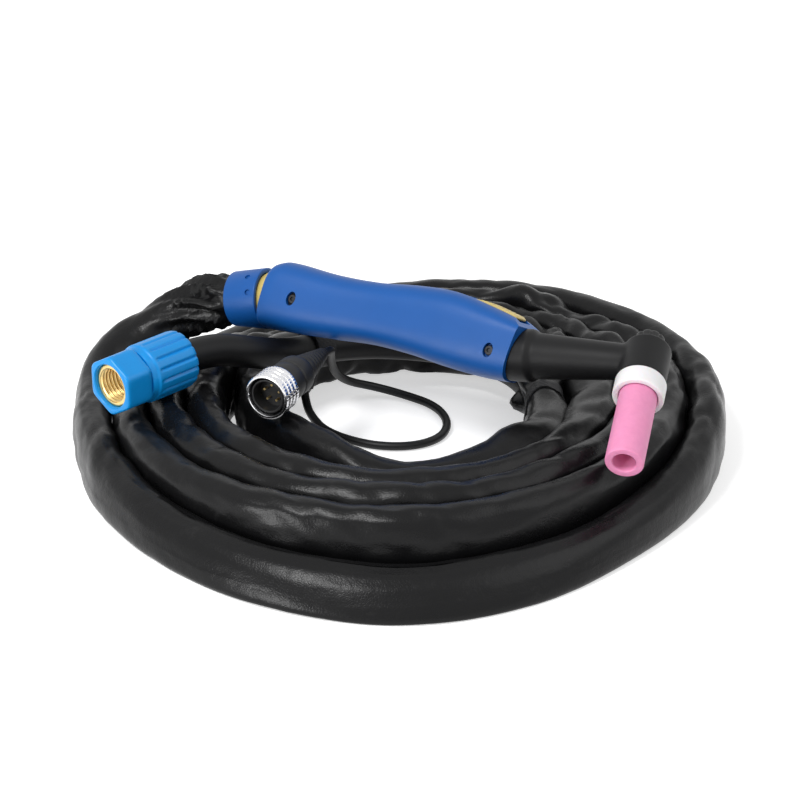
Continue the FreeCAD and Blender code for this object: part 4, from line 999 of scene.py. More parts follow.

# %% [markdown]
# ## Power cable and control cable
#
# Both are free cords that come out of the sleeve's inner end. Each is a NURBS curve with a round
# bevel, so its bends are smooth. The thick one rises over the coil to the
# connector, and the thin one makes a loop on the floor on its way to the plug.

# %% Cables
CABLE_RADIUS = 7.1
CONTROL_RADIUS = 1.9
CONNECTOR_REAR = (54.5, 28.0)
PLUG_REAR = (58.0, 32.0)
CABLE_EXIT = (59.4, 14.6, COIL_MIDDLE)
CABLE_OUT = (56.7, 33.4, COIL_MIDDLE)
CABLE_ROUTE = (
    (48.8, 50.4, 17.2), (34.7, 63.1, 18.5), (16.8, 69.6, 20.2), (-7.4, 69.1, 22.8),
    (-25.8, 62.6, 25.3), (-41.6, 51.1, 28.0), (-54.4, 36.4, 31.8), (-66.4, 18.6, 40.6))
CONTROL_EXIT = (59.4, 14.6, 27.0)
CONTROL_OUT = (57.5, 28.4, 27.0)
FLOOR_LINE = CONTROL_RADIUS + 0.2
CONTROL_ROUTE = (
    (58.5, 42.0, 25.5), (54.3, 58.2, 22.0), (37.7, 72.8, 21.5), (14.5, 79.7, 21.5),
    (-8.4, 78.6, 21.5), (-28.0, 72.5, 21.5), (-42.0, 64.5, 20.5), (-47.5, 57.5, 10.0),
    (-45.5, 45.5, FLOOR_LINE), (-42.0, 32.5, FLOOR_LINE), (-36.5, 20.5, FLOOR_LINE),
    (-26.0, 11.0, FLOOR_LINE), (-12.0, 4.5, FLOOR_LINE), (4.0, 5.0, FLOOR_LINE),
    (15.5, 14.0, FLOOR_LINE), (18.5, 30.0, FLOOR_LINE), (12.5, 46.5, FLOOR_LINE),
    (-1.0, 57.5, FLOOR_LINE), (-14.5, 59.0, 5.5), (-27.5, 52.0, 11.5), (-33.0, 42.0, 21.0),
    (-34.0, 32.0, 33.0))


def make_cord(name, points, radius, slot, node):
    made = spline_curve(name, points, radius)
    made.data.materials.append(FINISHES[slot])
    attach(made, "cable_set")
    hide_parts(node)
    length = even_steps(line_of(points), 1.0)[1]
    print(name, round(length, 1), "mm")
    return made, length


cable_end = [CONNECTOR @ Vector((0, 0, -z)) for z in CONNECTOR_REAR]
cable_points = [CABLE_EXIT, CABLE_OUT, *CABLE_ROUTE, *cable_end]
power_cable, power_length = make_cord("gas_power_cable", cable_points, CABLE_RADIUS, "hose_rubber",
                                      "power_cable")
control_end = [PLUG @ Vector((0, 0, -z)) for z in PLUG_REAR]
control_points = [CONTROL_EXIT, CONTROL_OUT, *CONTROL_ROUTE, *control_end]
control_cable, control_length = make_cord("control_lead", control_points, CONTROL_RADIUS, "wire",
                                          "control_cable")

# %% [markdown]
# ## Strap on the power cable
#
# A short rubber strap holds the thin lead against the thick one. It is a ring with a tail that
# narrows downwards, joined to one closed shape and rounded at its edges.

# %% Strap
STRAP_WIDTH = 10.0
STRAP_TAIL = 12.5
STRAP_WALL = 1.5
STRAP_TIP = 1.9
STRAP_FIT = 0.05
STRAP_ROUND = 0.4


def make_strap():
    before, corner, after = [Vector(p) for p in CABLE_ROUTE[4:7]]
    place = frame_at((before + corner * 6 + after) / 8, -UP, after - before)
    inner = CABLE_RADIUS + STRAP_FIT
    half = STRAP_WIDTH / 2
    band = spun([(inner, -half), (inner + STRAP_WALL, -half), (inner + STRAP_WALL, half), (inner, half)])
    root, tip = inner + 0.4, inner + STRAP_TAIL
    tail = prism([(root, -half), (tip, -STRAP_TIP), (tip, STRAP_TIP), (root, half)], STRAP_WALL / 2)
    tail = moved(tail, Matrix.Translation((0, -STRAP_WALL / 2 - 0.5, 0)))
    work = soften(cut(band, [tail], "UNION"), STRAP_ROUND)
    return piece("cable_strap_moulded", moved(work, place), "cable_set", "band", "cable_strap")


strap = make_strap()

# %% [markdown]
# ## Collar behind the handle
#
# The blue collar holds the sleeve on the ball. It is a turned cup, a little conical, with rounded
# lips and two dimples in its side where the mould's pins were.

# %% Collar
COLLAR_FRONT = 5.5
COLLAR_LENGTH = 16.5
COLLAR_FRONT_RADIUS = 13.6
COLLAR_REAR_RADIUS = 12.2
COLLAR_POCKET = 10.2
COLLAR_WEB = -16.3
DIMPLES = ((51.0, 5.6), (86.0, 3.6))
DIMPLE_RADIUS = 1.3
DIMPLE_FLOOR = 12.3
BALL_WINDOW = 12.8
TAIL_BORE = 8.8
BOWL_END = -math.sqrt(BALL_WINDOW ** 2 - TAIL_BORE ** 2)


def make_collar():
    front = -COLLAR_FRONT
    rear = front - COLLAR_LENGTH
    lip = math.sqrt(BALL_WINDOW ** 2 - COLLAR_FRONT ** 2)
    steps = 8
    bowl = []
    for i in range(steps + 1):
        z = front + (BOWL_END - front) * i / steps
        bowl.append((math.sqrt(BALL_WINDOW ** 2 - z ** 2), z))
    outline = [(COLLAR_REAR_RADIUS, rear), (COLLAR_FRONT_RADIUS, front), (lip, front), *bowl[1:],
               (TAIL_BORE, COLLAR_WEB), (COLLAR_POCKET, COLLAR_WEB), (COLLAR_POCKET, rear)]
    work = soften(spun(outline, 128), 0.8, 4, 40)
    dimples = [moved(rod(DIMPLE_RADIUS, DIMPLE_FLOOR, 20.0),
                     frame_at((0, 0, front - back), UP, heading(angle)))
               for angle, back in DIMPLES]
    return piece("swivel_collar", moved(cut(work, dimples), COLLAR), "cable_set", "handle_blue",
                 "sleeve_collar")


make_collar()

# %% [markdown]
# ## Handle shells
#
# The handle is moulded in two halves that meet along its middle. One grid, rolled round a section
# that changes smoothly from station to station, gives the outside. The hollow, the ball's seat, the
# neck's hole, the trigger's slot and the screw wells are cut from it, and it is parted down the middle.

# %% Handle section
HANDLE_STATIONS = (
    (-3.0, 14.3, 13.9, 14.0), (4.0, 16.4, 14.0, 14.3), (30.0, 14.2, 13.6, 13.6),
    (50.0, 13.9, 13.0, 13.2), (70.0, 15.4, 14.4, 13.6), (88.0, 15.4, 16.9, 14.0),
    (106.0, 11.6, 18.5, 13.9), (122.0, 7.2, 18.3, 13.2))
HANDLE_WALL = 2.4
HANDLE_ROWS = 150
HANDLE_COLUMNS = 96
REAR_ROUND = 2.4
REAR_LEAN = 0.10
SEAM_GAP = 0.06


def handle_size(x):
    """Top, bottom and half width of the handle at x, through its stations."""
    stops = HANDLE_STATIONS
    i = 0
    while i < len(stops) - 2 and stops[i + 1][0] < x:
        i += 1
    a, b = stops[max(i - 1, 0)], stops[i]
    c, d = stops[i + 1], stops[min(i + 2, len(stops) - 1)]
    span = c[0] - b[0]
    t = min(max((x - b[0]) / span, 0.0), 1.0)
    sizes = []
    for k in (1, 2, 3):
        slope_b = (c[k] - a[k]) / (c[0] - a[0]) * span
        slope_c = (d[k] - b[k]) / (d[0] - b[0]) * span
        sizes.append((2 * t ** 3 - 3 * t * t + 1) * b[k] + (t ** 3 - 2 * t * t + t) * slope_b
                     + (3 * t * t - 2 * t ** 3) * c[k] + (t ** 3 - t * t) * slope_c)
    return sizes


def soft_square(angle):
    """Rounded square from -1 to 1."""
    x, y = math.cos(angle), math.sin(angle)
    power = 2 / 3.1
    return math.copysign(abs(x) ** power, x), math.copysign(abs(y) ** power, y)


SQUARE_ANGLES = equal_parts(HANDLE_COLUMNS, soft_square)


def handle_grid(start, end, inset, rows, rear_round, lean=0.0):
    """Closed loft of the handle between two places along it."""
    def place(row, column):
        along = (end - start) * row / rows
        edge = rear_round - min(along, rear_round)
        rounding = rear_round - math.sqrt(max(rear_round ** 2 - edge ** 2, 0.0))
        x = start + along
        top, bottom, half = [size - inset - rounding for size in handle_size(x)]
        y, z = soft_square(SQUARE_ANGLES[column % HANDLE_COLUMNS])
        z = z * (top if z > 0 else bottom)
        slant = lean * z * (1 - smooth(along, 2.0, 24.0))
        return Vector((x + slant, y * half, z))
    work = rolled(rows, HANDLE_COLUMNS, place)
    bmesh.ops.holes_fill(work, edges=[e for e in work.edges if e.is_boundary], sides=0)
    return tidy(work)


END_SLANT = math.radians(6.0)
FAR = 60.0
NOSE_Z = 4.8
NOSE_LEAN = math.radians(53.0)
TRIGGER_SLOT = ((81.5, -5.9, 5.4), (119.0, 5.9, 60.0))
SEAT_RADIUS = 12.0
SEAT_START = 3.0
SEAT_END = 17.5
BALL_CLEARANCE = 12.7
HOLLOW = (17.0, 100.0)
NECK_PLUG_RADIUS = 8.85
HOSE_BORE_RADIUS = 5.5
NECK_FLARE_RADIUS = 11.2
PLUG_END = NECK_EXIT + 15.6
FRONT_SCREW = 110.5
SCREW_Z = -NECK_DROP - (HANDLE_END - FRONT_SCREW) * math.tan(NECK_RISE)
SCREW_WELLS = ((13.6, 0.0, 13.7), (FRONT_SCREW, SCREW_Z, 13.3))
WELL_LONG = 6.4
WELL_WIDE = 4.3
WELL_DEEPER = 2.4
SCREW_SUNK = 0.9


def end_frame(side):
    """Frame on the handle's slanted end face, whose Z points out of the handle where side is 1."""
    tilt = NECK_RISE + END_SLANT
    axis = Vector((math.cos(tilt), 0, -math.sin(tilt))) * side
    return frame_at(Vector((HANDLE_END, 0, -NECK_DROP)), (0, 1, 0), axis)


def half_space(place, start=0.0):
    """Block on the positive Z side of a frame, from start."""
    return moved(block((-FAR, -FAR, start), (FAR, FAR, FAR)), place)


def nose_plane():
    """Block in front of the end face's upper part, which leans back to the trigger's nose."""
    start = HANDLE_END + (NOSE_Z + NECK_DROP) * math.tan(NECK_RISE + END_SLANT)
    axis = Vector((math.cos(NOSE_LEAN), 0, math.sin(NOSE_LEAN)))
    return half_space(frame_at(Vector((start, 0, NOSE_Z)), (0, 1, 0), axis))


def screw_well(x, z, head, side):
    """Oblong recess round the screw's head, deeper than its face."""
    well = rod(1.0, head - WELL_DEEPER, 30, 40)
    place = frame_at((x, 0, z), (0.25, 0, 1), (0, side, 0))
    return moved(moved(well, Matrix.Diagonal((WELL_LONG / 2, WELL_WIDE / 2, 1, 1))), place)


def hollows():
    """What is taken out of the handle, as closed shapes in its frame."""
    along_x = frame_at((0, 0, 0), (0, 0, 1), (1, 0, 0))
    local_neck = HANDLE.inverted() @ NECK
    slot = soften(block(*TRIGGER_SLOT), 0.8, 3)
    return [
        half_space(end_frame(1)), nose_plane(), handle_grid(*HOLLOW, HANDLE_WALL, 40, 0.5),
        sphere(BALL_CLEARANCE), moved(rod(SEAT_RADIUS, SEAT_START, SEAT_END), along_x),
        moved(rod(NECK_PLUG_RADIUS, 0, PLUG_END + 0.3), local_neck),
        moved(rod(HOSE_BORE_RADIUS, 0, PLUG_END + 10.8), local_neck), slot]


def make_shell(name, side, node):
    """One half of the handle: side -1 is near the viewer, 1 is far."""
    body = handle_grid(-3.0, 122.0, 0.0, HANDLE_ROWS, REAR_ROUND, REAR_LEAN)
    wells = [screw_well(x, z, head, side) for x, z, head in SCREW_WELLS]
    low, high = (-300, -SEAM_GAP * 0.5, -300), (300, 300, 300)
    if side > 0:
        low, high = (-300, -300, -300), (300, SEAM_GAP * 0.5, 300)
    work = cut(body, hollows() + wells + [block(low, high)])
    return piece(name, moved(work, HANDLE), "handle", "handle_blue", node, sharp=32)


make_shell("handle_near_half", -1, "handle_shell_near")
make_shell("handle_far_half", 1, "handle_shell_far")

# %% [markdown]
# ## Screws of the handle
#
# Four short screws hold the shells together, two from each side. A head is turned, its hexagon
# socket is cut with a six-sided rod, and it sits a little below the shell's face in its oblong well.

# %% Handle screws
SCREW_RADIUS = 2.0
SCREW_SHANK = 1.1
SCREW_SOCKET = 1.05


def make_screws():
    """Four screw heads with a hexagon socket, a little below the shells' face."""
    heads = []
    for x, z, head in SCREW_WELLS:
        for side in (-1, 1):
            top = head - SCREW_SUNK
            outline = [(0, top - 5), (SCREW_SHANK, top - 5), (SCREW_SHANK, top - 0.8),
                       (SCREW_RADIUS, top - 0.8), (SCREW_RADIUS, top - 0.15),
                       (SCREW_RADIUS - 0.15, top), (0, top)]
            screw = cut(spun(outline, 48), [rod(SCREW_SOCKET, top - 0.7, top + 1, 6)])
            heads.append(moved(screw, frame_at((x, 0, z), (1, 0, 0), (0, side, 0))))
    work = moved(joined(heads), HANDLE)
    return piece("handle_socket_screws", work, "handle", "steel", "handle_screws")


make_screws()

# %% [markdown]
# ## Trigger
#
# The yellow lever lies along the slope of the handle's top. Its side view is drawn as one face and
# extruded across, its edges are rounded, and a row of grooves gives the finger some grip.

# %% Trigger
TRIGGER_PIVOT = (85.0, 11.6)
TRIGGER_HUB = 2.7
TRIGGER_END = 117.0
TRIGGER_PROUD = 0.8
TRIGGER_DIP = 2.2
TRIGGER_HALF = 5.5
GRIP_GROOVES = 7
GROOVE_START = 99.0
GROOVE_STEP = 2.2
GROOVE_RADIUS = 0.7
PIN_HOLE = 1.25
BOSS_RADIUS = 1.8
PLUNGER_X = 95.0
PLUNGER_TOP = 6.95


def lever_top(x):
    return handle_size(x)[0] + TRIGGER_PROUD - TRIGGER_DIP * (1 - smooth(x, 90.0, 104.0))


def make_trigger():
    start = TRIGGER_PIVOT[0] - TRIGGER_HUB
    steps = 14
    places = [start + 1.4 + (TRIGGER_END - 1.2 - start - 1.4) * i / steps for i in range(steps + 1)]
    crown = [(x, lever_top(x)) for x in places]
    nose = lever_top(TRIGGER_END) - 1.6
    root = lever_top(TRIGGER_PIVOT[0]) - 4.0
    outline = [(start, TRIGGER_PIVOT[1]), (start, lever_top(start) - 1.4), *crown,
               (TRIGGER_END, nose + 0.7), (TRIGGER_END - 0.7, nose),
               ((start + TRIGGER_END) / 2, (nose + root) / 2 + 1.2),
               (TRIGGER_PIVOT[0] + TRIGGER_HUB + 1.4, root)]
    lever = soften(prism(outline, TRIGGER_HALF), 0.7, 3, 40)
    hub = rod(TRIGGER_HUB, -TRIGGER_HALF, TRIGGER_HALF)
    pin_place = frame_at((TRIGGER_PIVOT[0], 0, TRIGGER_PIVOT[1]), (1, 0, 0), (0, 1, 0))
    boss = rod(BOSS_RADIUS, PLUNGER_TOP, lever_top(PLUNGER_X) - 1.5)
    boss = moved(boss, Matrix.Translation((PLUNGER_X, 0, 0)))
    work = cut(lever, [moved(hub, pin_place), boss], "UNION")
    grooves = [moved(rod(PIN_HOLE, -10, 10), pin_place)]
    for i in range(GRIP_GROOVES):
        x = GROOVE_START + GROOVE_STEP * i
        place = frame_at((x, 0, lever_top(x) + 0.35), (1, 0, 0), (0, 1, 0))
        grooves.append(moved(rod(GROOVE_RADIUS, -10, 10, 16), place))
    work = cut(work, grooves)
    return piece("trigger_lever", moved(work, HANDLE), "trigger", "yellow", "trigger")


make_trigger()

# %% [markdown]
# ## Neck and head
#
# The neck and head are one moulding of hard black rubber over the metal. The head's barrel and the
# neck are two turned shapes. A voxel remesh joins them with the soft fillet of a moulding, a little
# smoothing evens it, and the bores are cut after that so that their edges stay crisp.

# %% Neck
NECK_RADIUS = 9.8
NECK_HEAD_RADIUS = 7.6
HEAD_RADIUS = 10.0
HEAD_FRONT = 12.0
HEAD_BACK = 7.9
CORE_RADIUS = 7.25
CORE_BACK = 6.4
NECK_BORE = 4.05
CAP_BORE = 6.8
FLARE_LENGTH = 8.4
VOXEL = 0.5
SMOOTHINGS = 5


def remeshed(work):
    """Voxel remesh of overlapping closed shapes, then smoothing."""
    made = scratch_object(work)
    step = made.modifiers.new("voxels", "REMESH")
    step.mode = "VOXEL"
    step.voxel_size = VOXEL
    work = evaluated(made)
    for _ in range(SMOOTHINGS):
        bmesh.ops.smooth_vert(work, verts=work.verts, factor=0.5,
                              use_axis_x=True, use_axis_y=True, use_axis_z=True)
    return work


def make_neck():
    flare = NECK_EXIT - FLARE_LENGTH
    outline = [(0, 0), (NECK_HEAD_RADIUS, 0), (NECK_HEAD_RADIUS, 10), (NECK_RADIUS, flare),
               (NECK_FLARE_RADIUS, flare + 2.5), (NECK_FLARE_RADIUS, PLUG_END - 1), (0, PLUG_END - 1)]
    neck = spun(outline, 96)
    local_head = HANDLE.inverted() @ HEAD
    local_neck = HANDLE.inverted() @ NECK
    barrel = spun([(0, -HEAD_BACK), (HEAD_RADIUS - 0.8, -HEAD_BACK), (HEAD_RADIUS, -HEAD_BACK + 0.8),
                   (HEAD_RADIUS, HEAD_FRONT - 0.5), (HEAD_RADIUS - 0.5, HEAD_FRONT), (0, HEAD_FRONT)], 96)
    work = joined([moved(neck, local_neck), moved(barrel, local_head)])
    work = cut(remeshed(work), [half_space(end_frame(-1), -0.05)])
    plug = moved(rod(NECK_PLUG_RADIUS - 0.05, flare + 4, PLUG_END - 0.2), local_neck)
    work = cut(work, [plug], "UNION")
    bores = [moved(rod(NECK_BORE, 0, 90), local_neck),
             moved(rod(CORE_RADIUS, -CORE_BACK - 0.05, 20), local_head),
             moved(rod(CAP_BORE, -HEAD_BACK - 2, 0), local_head)]
    work = cut(work, bores)
    return piece("neck_and_head", moved(work, HANDLE), "handle", "neck_rubber", "neck_cover", sharp=40)


make_neck()

# %% [markdown]
# ## Gasket, nozzle and back cap
#
# These are turned pieces. The gasket is a white ring with rounded edges, and the nozzle a ceramic
# cup with a soft rim and a cone inside. The cap has grip flutes, which a rolled grid gives.

# %% Turned head pieces
NOZZLE_TIP = 57.4
GASKET_END = 20.6
NOZZLE_START = 19.1
NOZZLE_RADIUS = 7.8
NOZZLE_BORE = 4.75
NOZZLE_THROAT = 6.2
GASKET_RADIUS = 10.6
GASKET_LIP = 8.1
CAP_END = -14.5
CAP_RADIUS = 6.6
CAP_COLUMNS = 120
CAP_FLUTES = 10
CAP_FLUTE_DEPTH = 0.55


def make_gasket():
    seat = NOZZLE_START - 0.3
    work = spun([(NOZZLE_THROAT, HEAD_FRONT), (GASKET_RADIUS, HEAD_FRONT), (GASKET_RADIUS, GASKET_END),
                 (GASKET_LIP, GASKET_END), (GASKET_LIP, seat), (NOZZLE_THROAT, seat)], 128)
    return piece("gasket_ring", moved(soften(work, 0.7, 4, 40), HEAD), "handle", "white_ptfe", "gasket")


def make_nozzle():
    outline = [(NOZZLE_THROAT, NOZZLE_START), (NOZZLE_RADIUS, NOZZLE_START), (NOZZLE_RADIUS, NOZZLE_TIP),
               (NOZZLE_BORE, NOZZLE_TIP), (NOZZLE_BORE, NOZZLE_TIP - 18), (NOZZLE_THROAT, NOZZLE_TIP - 20)]
    work = soften(spun(outline, 128), 0.65, 4, 50)
    return piece("ceramic_nozzle", moved(work, HEAD), "nozzle", "alumina", "nozzle")


def make_back_cap():
    """Domed cap: rows from the stem's front to the cap's end, with flutes round its end."""
    top = -HEAD_BACK - 0.3
    rows = [(0.0, top + 5.8), (4.7, top + 5.8), (5.1, top + 5.4), (5.1, top), (6.2, top)]
    rows += [(CAP_RADIUS, top - 0.4 - 0.45 * i) for i in range(10)]
    rows += [(6.5, CAP_END + 1.3), (6.2, CAP_END + 0.7), (5.5, CAP_END + 0.2), (4.4, CAP_END)]
    rows.append((0.0, CAP_END))

    def fluted(row, angle):
        radius, z = row
        grip = smooth(top - z, 0.9, 1.5) * smooth(radius, 4.2, 6.0)
        return radius - CAP_FLUTE_DEPTH * grip * max(0.0, math.cos(CAP_FLUTES * angle)) ** 2

    work = round_grid(rows, CAP_COLUMNS, fluted)
    return piece("fluted_back_cap", moved(work, HEAD), "back_cap", "black_plastic", "back_cap")


make_gasket()
make_nozzle()
make_back_cap()

# %% [markdown]
# ## Connector
#
# The blue hand nut is a rounded hexagon in front, then a step, then a round grip with flutes. All
# of it is one rolled grid: each row has a radius and says how much it is a hexagon and how deep its
# flutes are.

# %% Connector sleeve
HEX_FLAT = 11.7
HEX_SHARPNESS = 16
CONNECTOR_COLUMNS = 240
FLUTES = 16
FLUTE_DEPTH = 0.85


def hexagon(angle):
    """Distance to the edge of a rounded hexagon, 1 at the middle of a flat."""
    total = sum(abs(math.cos(angle - math.pi * (k + 0.5) / 3)) ** HEX_SHARPNESS for k in range(3))
    return total ** (-1 / HEX_SHARPNESS)


def connector_rows():
    """Rows as (radius, z, share of hexagon, depth of flutes), from inside the mouth round to the back."""
    rows = [(9.4, -23, 0, 0), (9.4, -12, 0, 0), (9.4, -1.0, 0, 0), (9.5, -0.4, 0, 0), (9.9, 0, 0, 0)]
    rows += [(HEX_FLAT - 0.9, 0, 1, 0), (HEX_FLAT - 0.35, -0.25, 1, 0), (HEX_FLAT, -1.0, 1, 0)]
    rows += [(HEX_FLAT, -1.0 - 1.5 * i, 1, 0) for i in range(1, 8)]
    rows += [(HEX_FLAT - 0.1, -13.0, 1, 0), (HEX_FLAT - 0.6, -13.7, 1, 0), (HEX_FLAT - 1.6, -14.0, 0.8, 0)]
    rows += [(11.5, -14.2, 0, 0), (11.8, -14.7, 0, 0), (12.0, -16.4, 0, 0), (12.2, -17.0, 0, 0)]
    rows += [(12.55, -17.3, 0, 0), (12.7, -17.9, 0, 0), (12.7, -18.7, 0, 0.2), (12.7, -19.6, 0, 0.9)]
    rows += [(12.7, -19.6 - 1.6 * i, 0, 1.0) for i in range(1, 12)]
    rows += [(12.6, -38.1, 0, 1.0), (12.3, -39.0, 0, 0.9), (11.7, -39.4, 0, 0.6), (11.0, -39.5, 0, 0)]
    rows += [(9.4, -39.5, 0, 0), (9.1, -39.1, 0, 0), (9.1, -30, 0, 0), (9.1, -23, 0, 0), (9.4, -23, 0, 0)]
    return rows


def make_connector_sleeve():
    def shaped(row, angle):
        radius, z, hexness, flute = row
        radius *= 1 + hexness * (hexagon(angle) - 1)
        return radius - FLUTE_DEPTH * flute * max(0.0, math.cos(FLUTES * angle)) ** 3

    work = round_grid(connector_rows(), CONNECTOR_COLUMNS, shaped)
    return piece("connector_hand_nut", moved(work, CONNECTOR), "connector", "connector_blue",
                 "connector_sleeve", sharp=45)


hand_nut = make_connector_sleeve()

# %% [markdown]
# ## Thread in the connector
#
# The nut's bore is a round grid too. Each of its points moves in or out with a phase that grows
# along the axis and round it, which makes one helix, and the first turn fades in at the mouth.

# %% Connector thread
THREAD_PITCH = 1.8
THREAD_DEPTH = 0.75
THREAD_RADIUS = 6.8
THREAD_LENGTH = 12.5
THREAD_ROWS = 96
NUT_COLUMNS = 96
NUT_MOUTH = -1.5


def make_connector_nut():
    """Brass nut: a thread from the mouth, then the shoulder for the spigot."""
    rows = [(9.35, -22.95, 0), (9.35, -2.0, 0), (8.9, NUT_MOUTH, 0)]
    rows += [(8.0, NUT_MOUTH, 0), (7.7, NUT_MOUTH - 0.05, 0)]
    rows += [(THREAD_RADIUS, NUT_MOUTH - THREAD_LENGTH * i / THREAD_ROWS, 1)
             for i in range(THREAD_ROWS + 1)]
    rows += [(6.0, -14.0, 0), (6.0, -17.0, 0), (8.0, -17.0, 0), (8.0, -22.95, 0), (9.35, -22.95, 0)]

    def threaded(row, angle):
        radius, z, thread = row
        phase = (z / THREAD_PITCH + angle / (2 * math.pi)) % 1.0
        fade = smooth(-z, 1.5, 2.4)
        return radius + thread * THREAD_DEPTH * (1 - fade * smooth(abs(2 * phase - 1), 0.15, 0.85))

    work = round_grid(rows, NUT_COLUMNS, threaded)
    return piece("connector_brass_nut", moved(work, CONNECTOR), "connector", "brass",
                 "connector_nut", sharp=50)


brass_nut = make_connector_nut()

# %% [markdown]
# ## Control plug
#
# The plug is plated metal: a coupling ring with grooves and fine knurls, a shell that narrows to
# the back, and a ribbed rubber boot where the lead enters. The insert and its pins are the CAD's own.

# %% Plug
RING_RADIUS = 10.0
RING_BORE = 8.4
RING_GROOVES = 4
RING_GROOVE_DEPTH = 0.55
RING_COLUMNS = 192
RING_INSET = 0.12
KNURLS = 48
KNURL_DEPTH = 0.07


def make_plug_ring():
    rows = [(RING_BORE, -0.6), (8.8, 0.0), (9.4, 0.0), (9.9, -0.35), (RING_RADIUS, -0.9)]
    steps = 40
    for i in range(1, steps):
        z = -0.9 - 9.2 * i / steps
        groove = max(0.0, math.cos(2 * math.pi * (-z / 11.0) * RING_GROOVES)) ** 3
        rows.append((RING_RADIUS - RING_GROOVE_DEPTH * groove, z))
    rows += [(RING_RADIUS, -10.1), (9.8, -10.8), (9.3, -11.0), (7.9, -11.0), (7.75, -10.8), (7.75, -9.9)]
    rows += [(RING_BORE, -9.8), rows[0]]

    def knurled(row, angle):
        radius = row[0]
        knurl = smooth(radius, 9.85, 9.99) * KNURL_DEPTH * math.cos(KNURLS * angle)
        return radius - RING_INSET + knurl

    work = round_grid(rows, RING_COLUMNS, knurled)
    return piece("plug_ring_knurled", moved(work, PLUG), "plug_ring", "chrome",
                 "plug_coupling_ring", sharp=40)


def make_plug_shell():
    outline = [(1.95, -30.0), (6.4, -30.0), (8.3, -26.6), (8.6, -25.0), (8.6, -20.2), (8.2, -19.8),
               (8.2, -18.9), (8.6, -18.5), (8.6, -11.3), (7.4, -11.3), (7.4, -9.5), (8.1, -9.5),
               (8.1, -8.0), (7.4, -8.0), (7.4, -1.0), (6.5, -1.0), (6.5, -13.0), (1.95, -13.0)]
    work = soften(spun(outline, 128), 0.22, 2, 25)
    return piece("plug_shell_turned", moved(work, PLUG), "cable_set", "black_plastic", "plug_shell")


BOOT_BORE = 1.95
BOOT_START = 6.1
BOOT_TIP = 2.75
BOOT_ROWS = 60
BOOT_RIBS = 6.5


def make_plug_boot():
    """Tapered boot with ribs."""
    rows = [(BOOT_BORE, -30.0), (6.0, -30.0), (6.2, -30.3), (6.2, -32.6)]
    for i in range(BOOT_ROWS):
        share = i / (BOOT_ROWS - 1)
        taper = BOOT_START + (BOOT_TIP - BOOT_START) * share
        rib = 0.5 * (1 - share * 0.6) * max(0.0, math.sin(2 * math.pi * BOOT_RIBS * share)) ** 0.6
        rows.append((taper - rib, -33.0 - 16.4 * share))
    rows += [(2.6, -49.8), (2.3, -50.0), (BOOT_BORE, -50.0)]
    work = moved(spun(rows, 72), PLUG)
    return piece("plug_boot_ribbed", work, "cable_set", "black_plastic", "plug_boot")


plug_ring = make_plug_ring()
plug_shell = make_plug_shell()
plug_boot = make_plug_boot()
power_length * MM
control_length * MM

# %% [markdown]
# ## Floor and light
#
# The floor is pale and runs out of sight. Camera rays, and rays that come off or through a piece,
# see it near white, and it still takes the torch's shadow. A soft lamp stands over the left shoulder,
# a low one draws the gloss along the front of the coil, a weak one opens the right side, and the
# world fills in the rest at a plain level.

# %% Floor
FLOOR_SIZE = 6.0
FLOOR_GLOW = 0.55


def make_floor():
    work = bmesh.new()
    bmesh.ops.create_grid(work, x_segments=1, y_segments=1, size=FLOOR_SIZE / 2)
    mesh = mesh_of("floor", work)
    finish = Finish("floor_paper", roughness=0.9, specular_ior_level=0.0, base_color=(0.86, 0.86, 0.86))
    path = finish.nodes.new("ShaderNodeLightPath")
    seen = Value(finish, path.outputs["Is Camera Ray"]) + Value(finish, path.outputs["Is Glossy Ray"])
    seen = seen + Value(finish, path.outputs["Is Transmission Ray"])
    glow = finish.node("ShaderNodeEmission", {}, {"Color": (1, 1, 1), "Strength": seen * FLOOR_GLOW})
    both = finish.node("ShaderNodeAddShader", {}, {0: Value(finish, finish.shader.outputs[0]), 1: glow})
    output = [n for n in finish.nodes if n.type == "OUTPUT_MATERIAL"][0]
    finish.links.new(both.socket, output.inputs["Surface"])
    mesh.materials.append(finish.material)
    linked("floor", mesh)


make_floor()

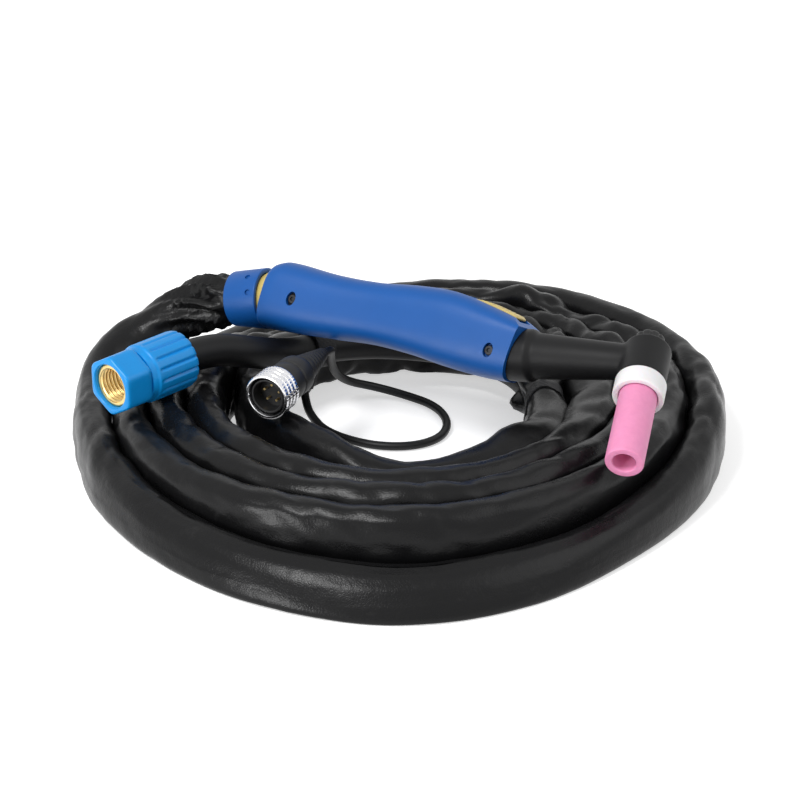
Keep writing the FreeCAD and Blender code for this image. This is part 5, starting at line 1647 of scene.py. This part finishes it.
# %% Light and world
WORLD_FILL = 0.42
LAMPS = (
    ("key", (-0.6, -0.7, 1.3), 0.45, 13.0),
    ("low", (-1.0, -0.95, 0.17), 0.4, 7.0),
    ("fill", (0.9, -0.3, 0.9), 1.0, 3.0))


def make_world():
    world = bpy.data.worlds.new("studio")
    world.use_nodes = True
    nodes, links = world.node_tree.nodes, world.node_tree.links
    nodes.clear()
    output = nodes.new("ShaderNodeOutputWorld")
    background = nodes.new("ShaderNodeBackground")
    background.inputs["Color"].default_value = (1, 1, 1, 1)
    path = nodes.new("ShaderNodeLightPath")
    first, second = [nodes.new("ShaderNodeMath") for _ in range(2)]
    level = nodes.new("ShaderNodeMapRange")
    first.operation = second.operation = "MAXIMUM"
    links.new(path.outputs["Is Camera Ray"], first.inputs[0])
    links.new(path.outputs["Is Glossy Ray"], first.inputs[1])
    links.new(first.outputs[0], second.inputs[0])
    links.new(path.outputs["Is Transmission Ray"], second.inputs[1])
    level.inputs["To Min"].default_value = WORLD_FILL
    level.inputs["To Max"].default_value = 1.0
    links.new(second.outputs[0], level.inputs["Value"])
    links.new(level.outputs[0], background.inputs["Strength"])
    links.new(background.outputs[0], output.inputs["Surface"])
    bpy.context.scene.world = world


def make_lamp(name, place, size, power):
    data = bpy.data.lights.new(name, "AREA")
    data.shape = "DISK"
    data.size = size
    data.energy = power
    made = linked(name, data)
    made.location = place
    made.rotation_euler = (-Vector(place)).to_track_quat("-Z", "Y").to_euler()


make_world()
for lamp in LAMPS:
    make_lamp(*lamp)

# %% [markdown]
# ## Camera
#
# The camera stands in front of the coil and looks down on it by 26 degrees, through a long lens. A
# small shift puts the torch where the picture has it.

# %% Camera
EYE = (-0.00375, -0.91155, 0.4564)
LOOK_DOWN = 26.0
LENS = 105.57
camera_data = bpy.data.cameras.new("camera")
camera_data.sensor_width = 36.0
camera_data.lens = LENS
camera_data.shift_x = 0.00125
camera_data.shift_y = 0.03875
camera = linked("camera", camera_data)
camera.location = EYE
camera.rotation_euler = (math.radians(90 - LOOK_DOWN), 0, 0)
bpy.context.scene.camera = camera
bpy.context.scene.view_settings.view_transform = "Standard"
